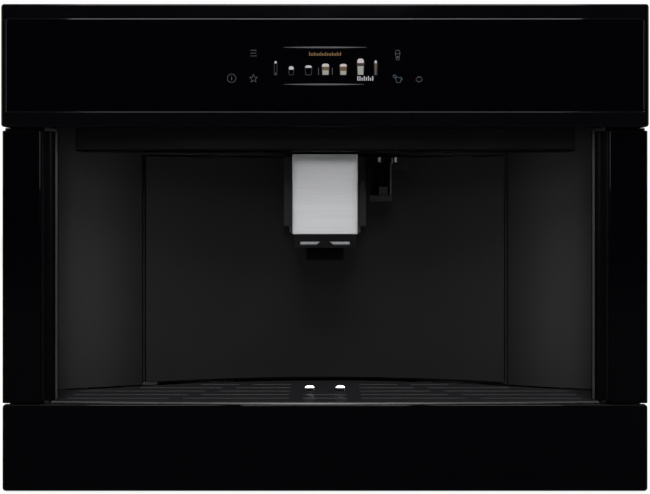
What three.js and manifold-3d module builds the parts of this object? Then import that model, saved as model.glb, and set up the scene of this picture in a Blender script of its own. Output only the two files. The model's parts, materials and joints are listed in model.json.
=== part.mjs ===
// Built-in coffee machine for a 560 mm kitchen niche, with a glass front, a concave cup niche,
// a swinging service door that carries the height-adjustable coffee spout, a drip drawer with a
// lift-out slotted grille, and full-extension runners on both sides of the chassis.
//
// Millimetres, +Z up, the front looks along -Y, +X is the viewer's right. The origin is the centre
// of the footprint, on the surface that the feet stand on. Depths called d are counted backwards
// from the face of the lower panel and the side glass.
import * as THREE from 'three';
import { mergeVertices } from 'three/addons/utils/BufferGeometryUtils.js';
import Module from 'manifold-3d';

const wasm = await Module();
wasm.setup();

// ---------------------------------------------------------------- driving sizes: the whole machine
const fit = 0.3; // gap between two pieces that seat on each other
const frontWidth = 596; // glass front, side to side
const totalDepth = 413; // face of the control panel to the back plate
const controlProud = 4.6; // control panel in front of the lower front
const panelLift = 1.5; // lower panel above the surface under the feet
const lowerPanelHeight = 80;
const panelGap = 1; // lower panel to side glass
const sideGlassHeight = 252;
const controlGap = 3; // side glass to control panel
const controlHeight = 113.3;
const frontCorner = 3; // corner radius of the front panels
const frontDepth = 20; // how far the front reaches in front of its frame
const frameInset = 1; // front frame inside the outline of the glass
const framePlate = 3.7; // plate of the front frame
const frameLift = 8; // front frame above the surface under the feet
const frameDrop = 5; // front frame below the top of the control panel
const frameRib = 3; // ribs that carry the side glass
const seatWidth = 16; // pads that rest on the cabinet's side walls
const seatProud = 0.5;
const chassisInset = 32; // chassis side inside the glass front
const chassisDrop = 9.3; // chassis top below the top of the control panel

// ------------------------------------------------------------------ driving sizes: the cup niche
const nicheDepth = 130.7; // lower front's face to the door, on the centre line
const doorRadius = 490; // plan radius of the hollow door
const wingRadius = 700; // plan radius of the wings, which curve back the other way
const seamPlace = 183; // centre of the seam between door and wing
const seamGap = 3.6;
const wingInset = 1.6; // outer edge of a wing inside the chassis side
const wingWall = 2.5;
const wingReturn = 8;
const roofRise = 8.5; // roof above the lower edge of the control panel
const roofSheet = 1.5;
const sideGlassWidth = 35;
const sideGlassThick = 5.5;
const sideGlassBevel = 0.7;
const sideGlassCorner = 1.2;
const postWidth = 14.5;
const postFront = 6.6; // d of the post's front face
const postDepth = 13.5; // d where the post's rounded face ends
const postBead = 2.3; // width of the bead along the post's inner edge
const postBeadRise = 1.1; // bead in front of the groove beside it
const postRound = 3;
const postLip = 2.5;
const postWall = 2;
const hoodInset = 13.4; // end of the hood bar to the post's edge
const hoodFront = 25;
const hoodOver = 12; // hood bar behind the face of the spout's cover
const hoodHeight = 28.8;
const hoodRound = 3;
const hoodChamfer = 6;

// ------------------------------------------------------------------- driving sizes: service door
const doorWall = 3;
const doorStile = 10; // width of the hinge stile
const doorReturn = 12; // depth of the stile and of the free edge
const doorTopGap = 1.5;
const doorBottomGap = 3; // drip deck to the door
const hingeInset = 5; // hinge axis behind the door's face and inside its edge
const hingePinRadius = 2;
const hingePinReach = 14; // length of each pin in the door
const hingeClearance = 0.5;
const headerDepth = 16;
const headerEndGap = 0.4;
const sillSetback = 9; // sill behind the door's face, so that the gap under the door is dark
const hingeLug = 6; // half width of the lug that carries the lower hinge pin
const jambWidth = 5.5;
const jambGap = 2.4; // door's edge to the jamb, more than the hinged corner swings out
const jambDepth = 47.2; // jambs behind the wings' inner edges

// ------------------------------------------------------------------ driving sizes: coffee spout
const spoutReach = 80.7; // door to the steel cover's face
const spoutHalf = 31.85;
const coverHeight = 77.4;
const coverSheet = 1;
const coverDepth = 54;
const coverFlat = 26; // half of the cover's flat face, between its slanted edges
const coverSlant = 1.4; // how far the slanted edges fall back
const coverRound = 1;
const carriageGap = 0.6; // running gap of the carriage in its guide
const guideReach = 25.7; // door to the guide's face
const guideHeight = 70.6;
const cheekWidth = 8.9;
const channelGap = 1.15; // cover's side to the guide's cheeks
const railPlace = 6; // guide's face to the groove that holds the carriage
const railWidth = 8;
const railReach = 4; // groove into each cheek
const guideBack = 3.5; // web of the guide behind the carriage
const spoutBaseHeight = 13.3;
const spoutBaseRound = 2.5;
const spoutBaseInset = 0.4; // base inside the cover
const spoutBaseReach = 10; // base behind the cover
const lightDrop = 7.3; // top of the base to the lights
const lightWidth = 19;
const lightHeight = 2.4;
const lightInner = 4.9; // centre line to a light's inner end
const lightSlant = 3;
const lightThick = 4;
const nozzleInset = 12; // cover's face to the nozzle's
const nozzleWidth = 37;
const nozzleHeight = 12.4;
const nozzleDepth = 24;
const nozzleRound = 3;
const outletRadius = 3.4;
const outletWall = 1.6;
const outletDrop = 0.8; // the two mouths below the nozzle's body
const outletRoof = 3; // nozzle's wall above the two outlets
const outletSpread = 8;

// --------------------------------------------------------------- driving sizes: hot water outlet
const waterCentre = 62.4; // X of the plug and of the outlet's round head
const plugDrop = 6.4; // plug below the door's upper edge
const plugRadius = 4;
const plugClearance = 0.4;
const plugLength = 13;
const socketWall = 2;
const socketReach = 28.8; // door to the socket's face
const socketRoot = 3; // socket's rear end sunk into the connector's plate
const connectorLeft = 18.4; // connector's plate left of the plug
const connectorRight = 24.6;
const connectorWall = 6;
const connectorDrop = 6.5; // connector's plate below the plug
const headRadius = 8.9;
const headRise = 5.8; // top of the head above the plug
const headDrop = 1.8; // foot of the head below the plug
const headFlange = 1.2;
const collarWall = 0.8;
const waterLeft = 17.5; // outlet's body left of the plug
const waterRight = 4.1;
const waterDrop = 39.7; // lower end of the body below the plug
const waterDepth = 17;
const waterGap = 1; // body to the socket's face
const waterWall = 2;
const waterBackWall = 5;
const waterLedge = 6;
const waterShort = 7; // left wall set back from the front
const waterBlock = 9; // height and about the width of the block in the channel
const waterTubeRadius = 2.2;
const waterBore = 1.6;

// ------------------------------------------------------------------ driving sizes: drip drawer
const deckRise = 2; // drip deck and grille above the lower panel
const lipFront = -2; // d of the deck's front edge on the centre line
const lipRadius = 4030; // plan radius of the bowed front edge
const lipInset = 9.9; // ends of the front edge inside the niche
const lipStep = 26; // d behind which the deck widens behind the posts
const lipStepSlant = 2;
const deckInset = 2.2; // deck's sides inside the niche
const deckGap = 4; // deck to the niche's curved wall
const deckThick = 4.5;
const lipThick = 1.7;
const rimWidth = 7.5;
const rearRim = 3;
const grilleThick = 2.2;
const grilleGap = 0.4;
const ledge = 4; // width of the ledge under the grille
const trayWall = 3;
const trayBottom = 10;
const slotCount = 5; // rows of slots
const slotFront = 21.4; // d of the front row
const slotPitch = 19.85;
const slotWidth = 5.4;
const slotInner = 33.2; // inner ends of all rows
const slotSide = 3.8; // outer ends to the grille's side
const slotRear = 10.5; // outer ends to the niche's curved wall
const bridgeWidth = 10.8;
const bridgeRear = 80.4; // X of the bridge in the rear row
const bridgeStep = 15; // each row further forward has its bridge further out
const centreRows = 2; // rows that go on across the centre
const centreHalf = 21.9;
const drainPlace = 15.2; // X of the two drain openings
const drainWidth = 8;
const drainFront = 57;
const drainLength = 21;
const drainWall = 0.9;
const drainRise = 0.4;
const drainLip = 5; // depth of the raised lip behind an opening
const drainLipRise = 2.4;
const drainLipLean = 1.4;
const drainLipRound = 3.2;
const lowerGlassThick = 5;
const lowerGlassBevel = 0.9;
const carrierWall = 3;
const carrierLift = 1.5;
const carrierRib = 2;
const carrierRibPitch = 74;
const carriageHalf = 108; // half width of the drawer behind the door
const carriageFront = 60;
const carriageTop = 50;
const carriageMargin = 10; // drawer's edge round the grounds container
const containerStart = 19.3; // door to the container
const containerDepth = 136;
const containerDrop = 3.5; // container's rim below the deck
const containerWall = 2.5;
const containerTaper = 4;
const containerRound = 12;

// ----------------------------------------------------------------- driving sizes: control panel
const glassThick = 4;
const glassBevel = 0.5;
const glassSideBorder = 4.4;
const glassTopBorder = 13.5;
const glassBottomBorder = 14.3;
const glassCorner = 1.7;
const bezelWall = 5;
const bezelWeb = 2.3;
const bezelBevel = 1;
const displayHalf = 46;
const displayHeight = 44;
const displayDrop = 0.95; // display below the middle of the glass
const displayDepth = 7.3;
const displayFrame = 4;
const displayRecess = 1;
const boardHalf = 100;
const boardHalfHeight = 34;
const boardSheet = 1.6;
const bossInset = 8;
const bossRadius = 4;
const chipHeight = 3.4;
const plugStripHeight = 5.4;

// ----------------------------------------------------------------------- driving sizes: chassis
const sheet = 1.2;
const panHeight = 4; // feet under the base pan
const panSheet = 1.5;
const panSide = 24; // upturned sides of the pan
const panRail = 4; // rails under the drawer
const panRailPlace = 98;
const footRadius = 12;
const footInset = 40;
const footFront = 45;
const rearFlange = 15;
const innerDeckSheet = 1.5;
const deckHoleInset = 25; // hole under the brew unit, inside its sides
const runnerStart = 3; // runners behind the chassis's front edge
const runnerShort = 21.1; // runners end this far in front of the back plate
const runnerCentre = 110;
const runnerHalfHeight = 22.5;
const runnerThick = 12.7;
const runnerSheet = 1.4;
const runnerNest = 5; // inner member narrower than the cabinet member, top and bottom
const runnerInner = 6.1; // reach of the inner member's flanges
const runnerOuter = 8.2; // reach of the cabinet member's flanges
const ventRows = 9;
const ventPitch = 12;
const ventHeight = 4;
const ventWidth = 52;
const ventLeft = 60;
const ventStep = 70;
const ventDrop = 141.5; // lowest row below the chassis top

// ----------------------------------------------------------- driving sizes: grinder and hopper
const grinderInset = 91; // grinder's axis inside the chassis side
const grinderRear = 143.4; // grinder's axis in front of the back plate
const grinderRadius = 40;
const grinderWall = 8;
const grinderFloor = 10;
const throatRadius = 20;
const throatMouth = 30;
const throatDepth = 26;
const chamberTop = 48; // burr chamber below the housing's top
const shaftRadius = 5;
const shaftGap = 2;
const burrRadius = 22;
const burrTip = 8;
const burrRim = 8;
const burrDrop = 58;
const burrTop = 12;
const motorRadius = 34;
const motorHeight = 129.4;
const motorChamfer = 6;
const hopperHeight = 110.5;
const hopperHalf = 62;
const hopperWall = 2.5;
const hopperNeck = 30;
const hopperNeckTop = 32;
const hopperNeckHeight = 12;
const hopperShoulder = 70;
const hopperRound = 12;
const hopperRim = 6;
const hopperMargin = 1; // hole in the top panel round the hopper
const rimSheet = 1.5;
const lidSheet = 3;
const lidBevel = 0.8;
const lidRound = 6;
const gripDepth = 6;
const gripHeight = 3;
const gripHalf = 24;

// ------------------------------------------------------------------- driving sizes: water tank
const tankInset = 14; // tank's side inside the chassis side
const tankWidth = 84;
const tankDepth = 142;
const tankRear = 16.4; // tank in front of the back plate
const tankHeight = 245.5; // shelf to the chassis top
const tankWall = 2.5;
const tankTaper = 3;
const tankRound = 12;
const tankMargin = 3; // hole in the top panel round the tank
const tankRim = 4; // lid beyond the tank
const valveRadius = 5;
const stemRadius = 3.5;
const stemRise = 4;
const shelfSheet = 5;
const shelfMargin = 8;
const shelfWall = 3;
const shelfSide = 22;
const socketDrop = 18;
const waterSocketRadius = 9;

// --------------------------------------------------------- driving sizes: brew unit and heater
const brewCentre = -35;
const brewWidth = 120;
const brewGap = 27.3; // door to the brew unit
const brewDepth = 132;
const brewHeight = 184.4;
const brewWall = 8;
const brewBackWall = 12;
const brewSideDrop = 30;
const brewBackDrop = 20;
const brewBridge = 12;
const brewBridgeRise = 96;
const brewChamberRadius = 34;
const brewChamberBore = 28;
const brewChamberRise = 60;
const brewBoreDepth = 30;
const pistonRadius = 14;
const pistonRise = 16;
const gearboxWidth = 26;
const gearboxHalf = 26;
const gearboxLift = 20;
const gearboxHeight = 64;
const motorCanRadius = 11;
const motorCanLength = 42;
const heaterLeft = 60;
const heaterWidth = 88;
const heaterRear = 28.4;
const heaterHeight = 34;
const heaterFins = 8;
const finPitch = 10;
const finThick = 4;
const finHeight = 12;
const pumpLeft = 70;
const pumpWidth = 80;
const pumpGap = 65.3; // door to the pump
const pumpDepth = 44;
const pumpFoot = 8;
const pumpBodyLeft = 14;
const pumpBodyWidth = 36;
const pumpBodyInset = 2;
const pumpHeight = 50;
const pumpAxis = 28;
const pumpCoilRadius = 13;
const pumpCoilLength = 44;
const pumpPipeRadius = 6;
const pumpPipeLength = 30;

// ----------------------------------------------------------------- driving sizes: mains parts
const powerLeft = -110;
const powerWidth = 120;
const powerHeight = 110;
const powerDrop = 31.5; // power board below the chassis top
const powerStand = 8.4; // board in front of the back plate
const powerSheet = 1.6;
const standRadius = 3;
const standInset = 6;
const heatSinkLeft = 14;
const heatSinkWidth = 34;
const heatSinkHeight = 40;
const heatSinkDepth = 24;
const relayLeft = 70;
const relayHeight = 26;
const relayDepth = 16;
const capacitorRadius = 9;
const inletInset = 41; // mains inlet inside the chassis side
const inletHeight = 60;
const inletHalfWidth = 14.6;
const inletHalfHeight = 11.6;
const inletDepth = 22;
const inletFlange = 4.4;
const inletWall = 2.6;
const inletFloor = 6;
const switchStep = 45; // inlet to switch
const rockerHalf = 8.5;
const rockerHeight = 9.5;
const rockerDepth = 12;

// --------------------------------------------------------------------------------- worked out
const lowerTop = panelLift + lowerPanelHeight;
const sideGlassBottom = lowerTop + panelGap;
const sideGlassTop = sideGlassBottom + sideGlassHeight;
const controlBottom = sideGlassTop + controlGap;
const controlTop = controlBottom + controlHeight;
const frontHalf = frontWidth / 2;
const frameHalf = frontHalf - frameInset;
const frameBottom = frameLift;
const frameTop = controlTop - frameDrop;
const lowerFaceY = -totalDepth / 2 + controlProud;
const rearDepth = totalDepth - controlProud; // d of the back plate's outer face
const frameBack = frontDepth + fit + framePlate; // d of the front frame's rear face
const chassisFront = frameBack + fit;
const chassisHalf = frontHalf - chassisInset;
const chassisInner = chassisHalf - sheet;
const chassisTop = controlTop - chassisDrop;
const panTop = panHeight + panSheet;
const plateFront = rearDepth - sheet; // d of the back plate's inner face
const deckTop = lowerTop + deckRise;
const roofBottom = controlBottom + roofRise;
const nicheTop = roofBottom - fit;
const nicheHalf = chassisHalf - wingInset;
const postEdge = nicheHalf - postWidth;
const hoodHalf = postEdge - hoodInset;
const hoodBottom = nicheTop - hoodHeight;
const doorHalf = seamPlace - seamGap / 2;
const wingInner = seamPlace + seamGap / 2;
const doorBottom = deckTop + doorBottomGap;
const doorTop = hoodBottom - doorTopGap;
const innerDeckTop = deckTop + fit + innerDeckSheet;
const stepUp = innerDeckTop + fit; // seat of what stands on the inner deck
const lidBottom = chassisTop + fit + rimSheet + fit;
const spoutTop = doorTop - fit;
const spoutBottom = spoutTop - coverHeight;
const spoutFace = nicheDepth - spoutReach;
const coverBack = spoutFace + coverDepth;
const guideFace = nicheDepth - guideReach;
const guideBottom = spoutTop - guideHeight;
const channelHalf = spoutHalf + channelGap;
const guideHalf = channelHalf + cheekWidth;
const railDepth = guideFace + railPlace;
const spoutBaseTop = spoutBottom - fit;
const spoutBaseBottom = spoutBaseTop - spoutBaseHeight;
const nozzleTop = spoutBaseBottom - fit;
const plugHeight = doorTop - plugDrop;
const glassHalf = frontHalf - glassSideBorder;
const glassBottom = controlBottom + glassBottomBorder;
const glassTop = controlTop - glassTopBorder;
const displayCentre = (glassBottom + glassTop) / 2 - displayDrop;
const lipHalf = nicheHalf - lipInset;
const deckHalf = nicheHalf - deckInset;
const grilleHalf = lipHalf - rimWidth;
const containerBottom = trayBottom + trayWall + fit;
const containerTop = deckTop - containerDrop;
const containerHalf = carriageHalf - carriageMargin;
const containerFront = nicheDepth + containerStart;
const containerBack = containerFront + containerDepth;
const carriageBack = containerBack + carriageMargin;
const runnerFront = chassisFront + runnerStart;
const runnerEnd = rearDepth - runnerShort;
const grinderX = -(chassisHalf - grinderInset);
const grinderD = rearDepth - grinderRear;
const motorTop = stepUp + motorHeight;
const hopperBottom = chassisTop - hopperHeight;
const tankRight = chassisHalf - tankInset;
const tankLeft = tankRight - tankWidth;
const tankBack = rearDepth - tankRear;
const tankFront = tankBack - tankDepth;
const shelfTop = chassisTop - tankHeight;
const brewLeft = brewCentre - brewWidth / 2;
const brewRight = brewCentre + brewWidth / 2;
const brewFront = nicheDepth + brewGap;
const brewBack = brewFront + brewDepth;
const brewTop = stepUp + brewHeight;
const inletX = -(chassisHalf - inletInset);
const switchX = inletX + switchStep;

// ---------------------------------------------------------------------------- geometry helpers
/** Row coordinate Y of a depth d behind the lower front's face. */
const at = (d) => lowerFaceY + d;

/** Closed outline through [x, y] pairs. */
const outline = (pairs) => new THREE.Shape(pairs.map(([x, y]) => new THREE.Vector2(x, y)));

/** Rectangle with round corners between two corners. */
function roundRect(x0, y0, x1, y1, r) {
  const shape = new THREE.Shape();
  shape.absarc(x1 - r, y0 + r, r, -Math.PI / 2, 0);
  shape.absarc(x1 - r, y1 - r, r, 0, Math.PI / 2);
  shape.absarc(x0 + r, y1 - r, r, Math.PI / 2, Math.PI);
  shape.absarc(x0 + r, y0 + r, r, Math.PI, 1.5 * Math.PI);
  return shape;
}

/** Extrusion options: how far, how round its curves, and an edge bevel that keeps the outline. */
function extrusion(length, bevel, curveSegments) {
  if (!bevel) return { depth: length, bevelEnabled: false, curveSegments };
  return {
    depth: length - 2 * bevel,
    bevelEnabled: true,
    bevelThickness: bevel,
    bevelSize: bevel,
    bevelOffset: -bevel,
    bevelSegments: 1,
    curveSegments,
  };
}

/** Plan outline (x, y) raised from z0 to z1. */
function raise(shape, z0, z1, bevel = 0, curveSegments = 3) {
  return new THREE.ExtrudeGeometry(shape, extrusion(z1 - z0, bevel, curveSegments))
    .translate(0, 0, z0 + bevel);
}

/** Front-view outline (x, z) pushed back from depth d0 to depth d1. */
function pushBack(shape, d0, d1, bevel = 0, curveSegments = 3) {
  return new THREE.ExtrudeGeometry(shape, extrusion(d1 - d0, bevel, curveSegments))
    .rotateX(Math.PI / 2)
    .translate(0, at(d1) - bevel, 0);
}

const sideways = new THREE.Matrix4().makeBasis(
  new THREE.Vector3(0, 1, 0),
  new THREE.Vector3(0, 0, 1),
  new THREE.Vector3(1, 0, 0),
);

/** Side-view outline (y, z) drawn out from x0 to x1. */
function drawAcross(shape, x0, x1, curveSegments = 3) {
  return new THREE.ExtrudeGeometry(shape, extrusion(x1 - x0, 0, curveSegments))
    .applyMatrix4(sideways)
    .translate(x0, 0, 0);
}

/** Box between x0 and x1, depths d0 and d1, heights z0 and z1. */
function block(x0, x1, d0, d1, z0, z1) {
  return new THREE.BoxGeometry(Math.abs(x1 - x0), d1 - d0, z1 - z0)
    .translate((x0 + x1) / 2, at((d0 + d1) / 2), (z0 + z1) / 2);
}

/** Upright cylinder. */
function post(x, d, radius, z0, z1, sides = 16) {
  return new THREE.CylinderGeometry(radius, radius, z1 - z0, sides)
    .rotateX(Math.PI / 2)
    .translate(x, at(d), (z0 + z1) / 2);
}

/** Cylinder that points backwards. */
function rod(x, z, radius, d0, d1, sides = 16) {
  return new THREE.CylinderGeometry(radius, radius, d1 - d0, sides).translate(x, at((d0 + d1) / 2), z);
}

/** Revolved profile of [radius, z] pairs about an upright axis, starting and ending on the axis. */
function turned(pairs, x, d, sides = 24) {
  return new THREE.LatheGeometry(pairs.map(([r, z]) => new THREE.Vector2(r, z)), sides)
    .rotateX(Math.PI / 2)
    .translate(x, at(d), 0);
}

/** Skin over rings of equal counts of points, closed at both ends. */
function loft(rings) {
  const count = rings[0].length;
  const points = rings.flat();
  const index = [];
  for (let level = 0; level + 1 < rings.length; level++) {
    for (let i = 0; i < count; i++) {
      const a = level * count + i;
      const b = level * count + ((i + 1) % count);
      index.push(a, b, b + count, a, b + count, a + count);
    }
  }
  const last = (rings.length - 1) * count;
  for (let i = 1; i + 1 < count; i++) {
    index.push(0, i + 1, i);
    index.push(last, last + i, last + i + 1);
  }
  const geometry = new THREE.BufferGeometry();
  geometry.setAttribute('position', new THREE.Float32BufferAttribute(points.flatMap((p) => p), 3));
  geometry.setIndex(index);
  return geometry;
}

/** Ring of points for a loft: a rectangle whose corners are rounded by radius r, at height z. */
function ring(x, d, halfX, halfY, r, z, steps = 4) {
  const points = [];
  const corners = [[1, -1, -Math.PI / 2], [1, 1, 0], [-1, 1, Math.PI / 2], [-1, -1, Math.PI]];
  for (const [sx, sy, start] of corners) {
    for (let i = 0; i <= steps; i++) {
      const angle = start + (i / steps) * (Math.PI / 2);
      const px = x + sx * (halfX - r) + r * Math.cos(angle);
      const py = at(d) + sy * (halfY - r) + r * Math.sin(angle);
      points.push([px, py, z]);
    }
  }
  return points;
}

/** Solid of a closed geometry, for cutting and joining. */
function solid(geometry) {
  const bare = geometry.clone();
  bare.deleteAttribute('normal');
  bare.deleteAttribute('uv');
  const merged = mergeVertices(bare, 1e-4);
  const vertProperties = new Float32Array(merged.attributes.position.array);
  const triVerts = new Uint32Array(merged.index.array);
  return new wasm.Manifold(new wasm.Mesh({ numProp: 3, vertProperties, triVerts }));
}

/** Geometry of a solid. */
function geometryOf(body) {
  const mesh = body.getMesh();
  const geometry = new THREE.BufferGeometry();
  geometry.setAttribute('position', new THREE.BufferAttribute(mesh.vertProperties, mesh.numProp));
  geometry.setIndex(new THREE.BufferAttribute(mesh.triVerts, 1));
  geometry.computeVertexNormals();
  return geometry;
}

/** All the added geometries joined, then all the removed ones cut out. */
function shaped(added, removed = []) {
  let body = solid(added[0]);
  for (const piece of added.slice(1)) body = body.add(solid(piece));
  for (const piece of removed) body = body.subtract(solid(piece));
  return geometryOf(body);
}

// ------------------------------------------------------------------------------ niche curve
/** Depth d of the niche's curved wall at x: a hollow arc that runs on into the wings. */
function nicheWall(x) {
  const reach = Math.abs(x);
  const arc = (u) => nicheDepth - doorRadius + Math.sqrt(doorRadius ** 2 - u ** 2);
  if (reach <= seamPlace) return arc(reach);
  const past = reach - seamPlace;
  const slope = seamPlace / Math.sqrt(doorRadius ** 2 - seamPlace ** 2);
  return arc(seamPlace) - slope * past + past ** 2 / (2 * wingRadius);
}

/** Points [x, y] along the niche wall from x0 to x1, moved back by offset. */
function wallPoints(x0, x1, offset, steps) {
  const points = [];
  for (let i = 0; i <= steps; i++) {
    const x = x0 + ((x1 - x0) * i) / steps;
    points.push([x, at(nicheWall(x) + offset)]);
  }
  return points;
}

/** Depth d of the deck's bowed front edge at x. */
const lipEdge = (x) => lipFront + x ** 2 / (2 * lipRadius);

/** Points [x, y] along the bowed front edge from x0 to x1, moved back by offset. */
function lipPoints(x0, x1, offset, steps) {
  const points = [];
  for (let i = 0; i <= steps; i++) {
    const x = x0 + ((x1 - x0) * i) / steps;
    points.push([x, at(lipEdge(x) + offset)]);
  }
  return points;
}

// ------------------------------------------------------------------------------- the machine
const machine = new THREE.Group();
const sides = [['left', -1], ['right', 1]];

const finishes = {
  blackGlass: { color: 0x030304, roughness: 0.06, metalness: 0 },
  glossBlack: { color: 0x0b0b0d, roughness: 0.2, metalness: 0 },
  satinBlack: { color: 0x1c1d20, roughness: 0.45, metalness: 0 },
  matBlack: { color: 0x141416, roughness: 0.7, metalness: 0 },
  brushedSteel: { color: 0xb9babd, roughness: 0.35, metalness: 1 },
  zincSheet: { color: 0x9ea3a6, roughness: 0.5, metalness: 0.9 },
  polishedSteel: { color: 0xd6d8da, roughness: 0.15, metalness: 1 },
  clearPlastic: { color: 0x5d6468, roughness: 0.1, metalness: 0 },
  whiteLight: { color: 0xf5f6f8, roughness: 0.3, metalness: 0 },
  greyPlastic: { color: 0x4a4c50, roughness: 0.6, metalness: 0 },
  circuitGreen: { color: 0x1d4a2c, roughness: 0.6, metalness: 0 },
  castAluminium: { color: 0x8d9093, roughness: 0.45, metalness: 0.8 },
  display: { color: 0x101216, roughness: 0.1, metalness: 0 },
};

/** Adds one named piece of the machine. */
function add(name, geometry, finish) {
  const mesh = new THREE.Mesh(geometry, new THREE.MeshStandardMaterial(finishes[finish]));
  mesh.name = name;
  machine.add(mesh);
}

// ---- control panel: bezel with a pocket for the glass, and the display behind it
function controlPanel() {
  const face = -controlProud;
  const glassBack = face + glassThick;
  const webFront = glassBack + fit;
  const webBack = webFront + bezelWeb;
  const boardFront = webFront + displayDepth + fit;
  const boardBack = boardFront + boardSheet;
  const displayBottom = displayCentre - displayHeight / 2;
  const displayTop = displayCentre + displayHeight / 2;
  const shell = pushBack(roundRect(-frontHalf, controlBottom, frontHalf, controlTop, frontCorner),
    face, frontDepth, bezelBevel);
  const pocket = pushBack(roundRect(-glassHalf - fit, glassBottom - fit, glassHalf + fit, glassTop + fit,
    glassCorner + fit), face - 1, webFront);
  const hollow = block(-frontHalf + bezelWall, frontHalf - bezelWall, webBack, frontDepth + 1,
    controlBottom + bezelWall, controlTop - bezelWall);
  const window = block(-displayHalf - fit, displayHalf + fit, face, webBack + 1,
    displayBottom - fit, displayTop + fit);
  const bosses = [];
  for (const [, s] of sides) {
    for (const z of [-1, 1]) {
      bosses.push(rod(s * (boardHalf - bossInset), displayCentre + z * (boardHalfHeight - bossInset),
        bossRadius, webBack - 0.5, boardFront - fit, 10));
    }
  }
  const bezel = shaped([geometryOf(solid(shell).subtract(solid(hollow))), ...bosses], [pocket, window]);
  add('control_bezel', bezel, 'glossBlack');
  add('control_glass', pushBack(roundRect(-glassHalf, glassBottom, glassHalf, glassTop, glassCorner),
    face, glassBack, glassBevel), 'blackGlass');
  const inner = displayHalf - displayFrame;
  add('display_module', shaped(
    [block(-displayHalf, displayHalf, webFront, boardFront - fit, displayBottom, displayTop)],
    [block(-inner, inner, webFront - 1, webFront + displayRecess,
      displayBottom + displayFrame, displayTop - displayFrame)]), 'display');
  const third = boardHalf / 3;
  add('control_board', shaped([
    block(-boardHalf, boardHalf, boardFront, boardBack,
      displayCentre - boardHalfHeight, displayCentre + boardHalfHeight),
    block(-third, third / 3, boardBack - 0.2, boardBack + chipHeight,
      displayCentre - boardHalfHeight / 2, displayCentre + boardHalfHeight / 3),
    block(third, 2 * third, boardBack - 0.2, boardBack + plugStripHeight,
      displayCentre - boardHalfHeight * 0.6, displayCentre - boardHalfHeight * 0.3),
  ]), 'circuitGreen');
}

// ---- front frame: portal plate with ribs for the side glass and pads that rest on the cabinet
function frontFrame() {
  const inner = chassisInner + 0.1;
  const bridge = controlBottom + 1;
  const portal = outline([
    [-frameHalf, frameBottom], [-inner, frameBottom], [-inner, bridge], [inner, bridge],
    [inner, frameBottom], [frameHalf, frameBottom], [frameHalf, frameTop], [-frameHalf, frameTop],
  ]);
  const added = [pushBack(portal, frontDepth + fit, frameBack)];
  for (const [, s] of sides) {
    added.push(
      block(s * inner, s * (inner + frameRib), sideGlassThick + fit, frontDepth + 1,
        sideGlassBottom, sideGlassTop),
      block(s * (frameHalf - frameRib), s * frameHalf, sideGlassThick + fit, frontDepth + 1,
        lowerTop + fit, controlBottom - fit),
    );
    added.push(block(s * (frameHalf - seatWidth), s * frameHalf, frameBack - 0.2, frameBack + seatProud,
      frameBottom, frameTop));
  }
  add('front_frame', shaped(added), 'matBlack');
}

// ---- side glass, posts and wings
function nicheSides() {
  const cheek = nicheHalf + 0.2;
  const cheekBack = nicheWall(nicheHalf) - fit;
  const roundBack = postDepth + postLip;
  const bead = postEdge + postBead;
  for (const [side, s] of sides) {
    const [x0, x1] = [s * (frontHalf - sideGlassWidth), s * frontHalf].sort((a, b) => a - b);
    add(`side_glass_${side}`, pushBack(roundRect(x0, sideGlassBottom, x1, sideGlassTop, sideGlassCorner),
      0, sideGlassThick, sideGlassBevel, 2), 'blackGlass');

    const plan = new THREE.Shape();
    plan.moveTo(s * cheek, at(postFront));
    plan.lineTo(s * (cheek - postRound), at(postFront));
    plan.quadraticCurveTo(s * (bead + postRound), at(postFront + 0.4), s * bead, at(postDepth));
    plan.lineTo(s * bead, at(postDepth - postBeadRise));
    plan.lineTo(s * postEdge, at(postDepth - postBeadRise));
    plan.lineTo(s * postEdge, at(roundBack));
    plan.lineTo(s * (cheek - postWall), at(roundBack));
    plan.lineTo(s * (cheek - postWall), at(cheekBack));
    plan.lineTo(s * cheek, at(cheekBack));
    add(`post_${side}`, raise(plan, deckTop + fit + 0.2, sideGlassTop, 0, 8), 'satinBlack');

    const face = wallPoints(s * wingInner, s * nicheHalf, 0, 8);
    const back = wallPoints(s * (nicheHalf - wingWall), s * (wingInner + wingWall), wingWall, 8);
    const outerReturn = nicheWall(nicheHalf) + wingReturn;
    const innerReturn = nicheWall(wingInner) + wingReturn;
    add(`niche_wing_${side}`, raise(outline([
      ...face, [s * nicheHalf, at(outerReturn)], [s * (nicheHalf - wingWall), at(outerReturn)],
      ...back, [s * (wingInner + wingWall), at(innerReturn)], [s * wingInner, at(innerReturn)],
    ]), deckTop + fit + 0.5, nicheTop), 'satinBlack');
  }
}

// ---- back edge of the jambs, where the niche's roof and the door's fixed frame end
const jambBack = nicheWall(wingInner) + wingReturn + fit + jambDepth;

// ---- roof of the niche and the bar under it
function nicheRoof() {
  add('niche_roof', block(-nicheHalf, nicheHalf, chassisFront, jambBack, roofBottom, roofBottom + roofSheet),
    'matBlack');
  const front = at(hoodFront);
  const back = at(spoutFace + hoodOver);
  const profile = new THREE.Shape();
  profile.moveTo(back, nicheTop);
  profile.lineTo(front, nicheTop);
  profile.lineTo(front, hoodBottom + hoodRound);
  profile.absarc(front + hoodRound, hoodBottom + hoodRound, hoodRound, Math.PI, 1.5 * Math.PI);
  profile.lineTo(back - hoodChamfer, hoodBottom);
  profile.lineTo(back, hoodBottom + hoodChamfer);
  add('hood_bar', drawAcross(profile, -hoodHalf, hoodHalf, 4), 'glossBlack');
}

// ---- hinge of the service door
const hingeX = -doorHalf + hingeInset;
const hingeD = nicheWall(doorHalf) + hingeInset;
const hingeBore = hingePinRadius + hingeClearance;

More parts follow.
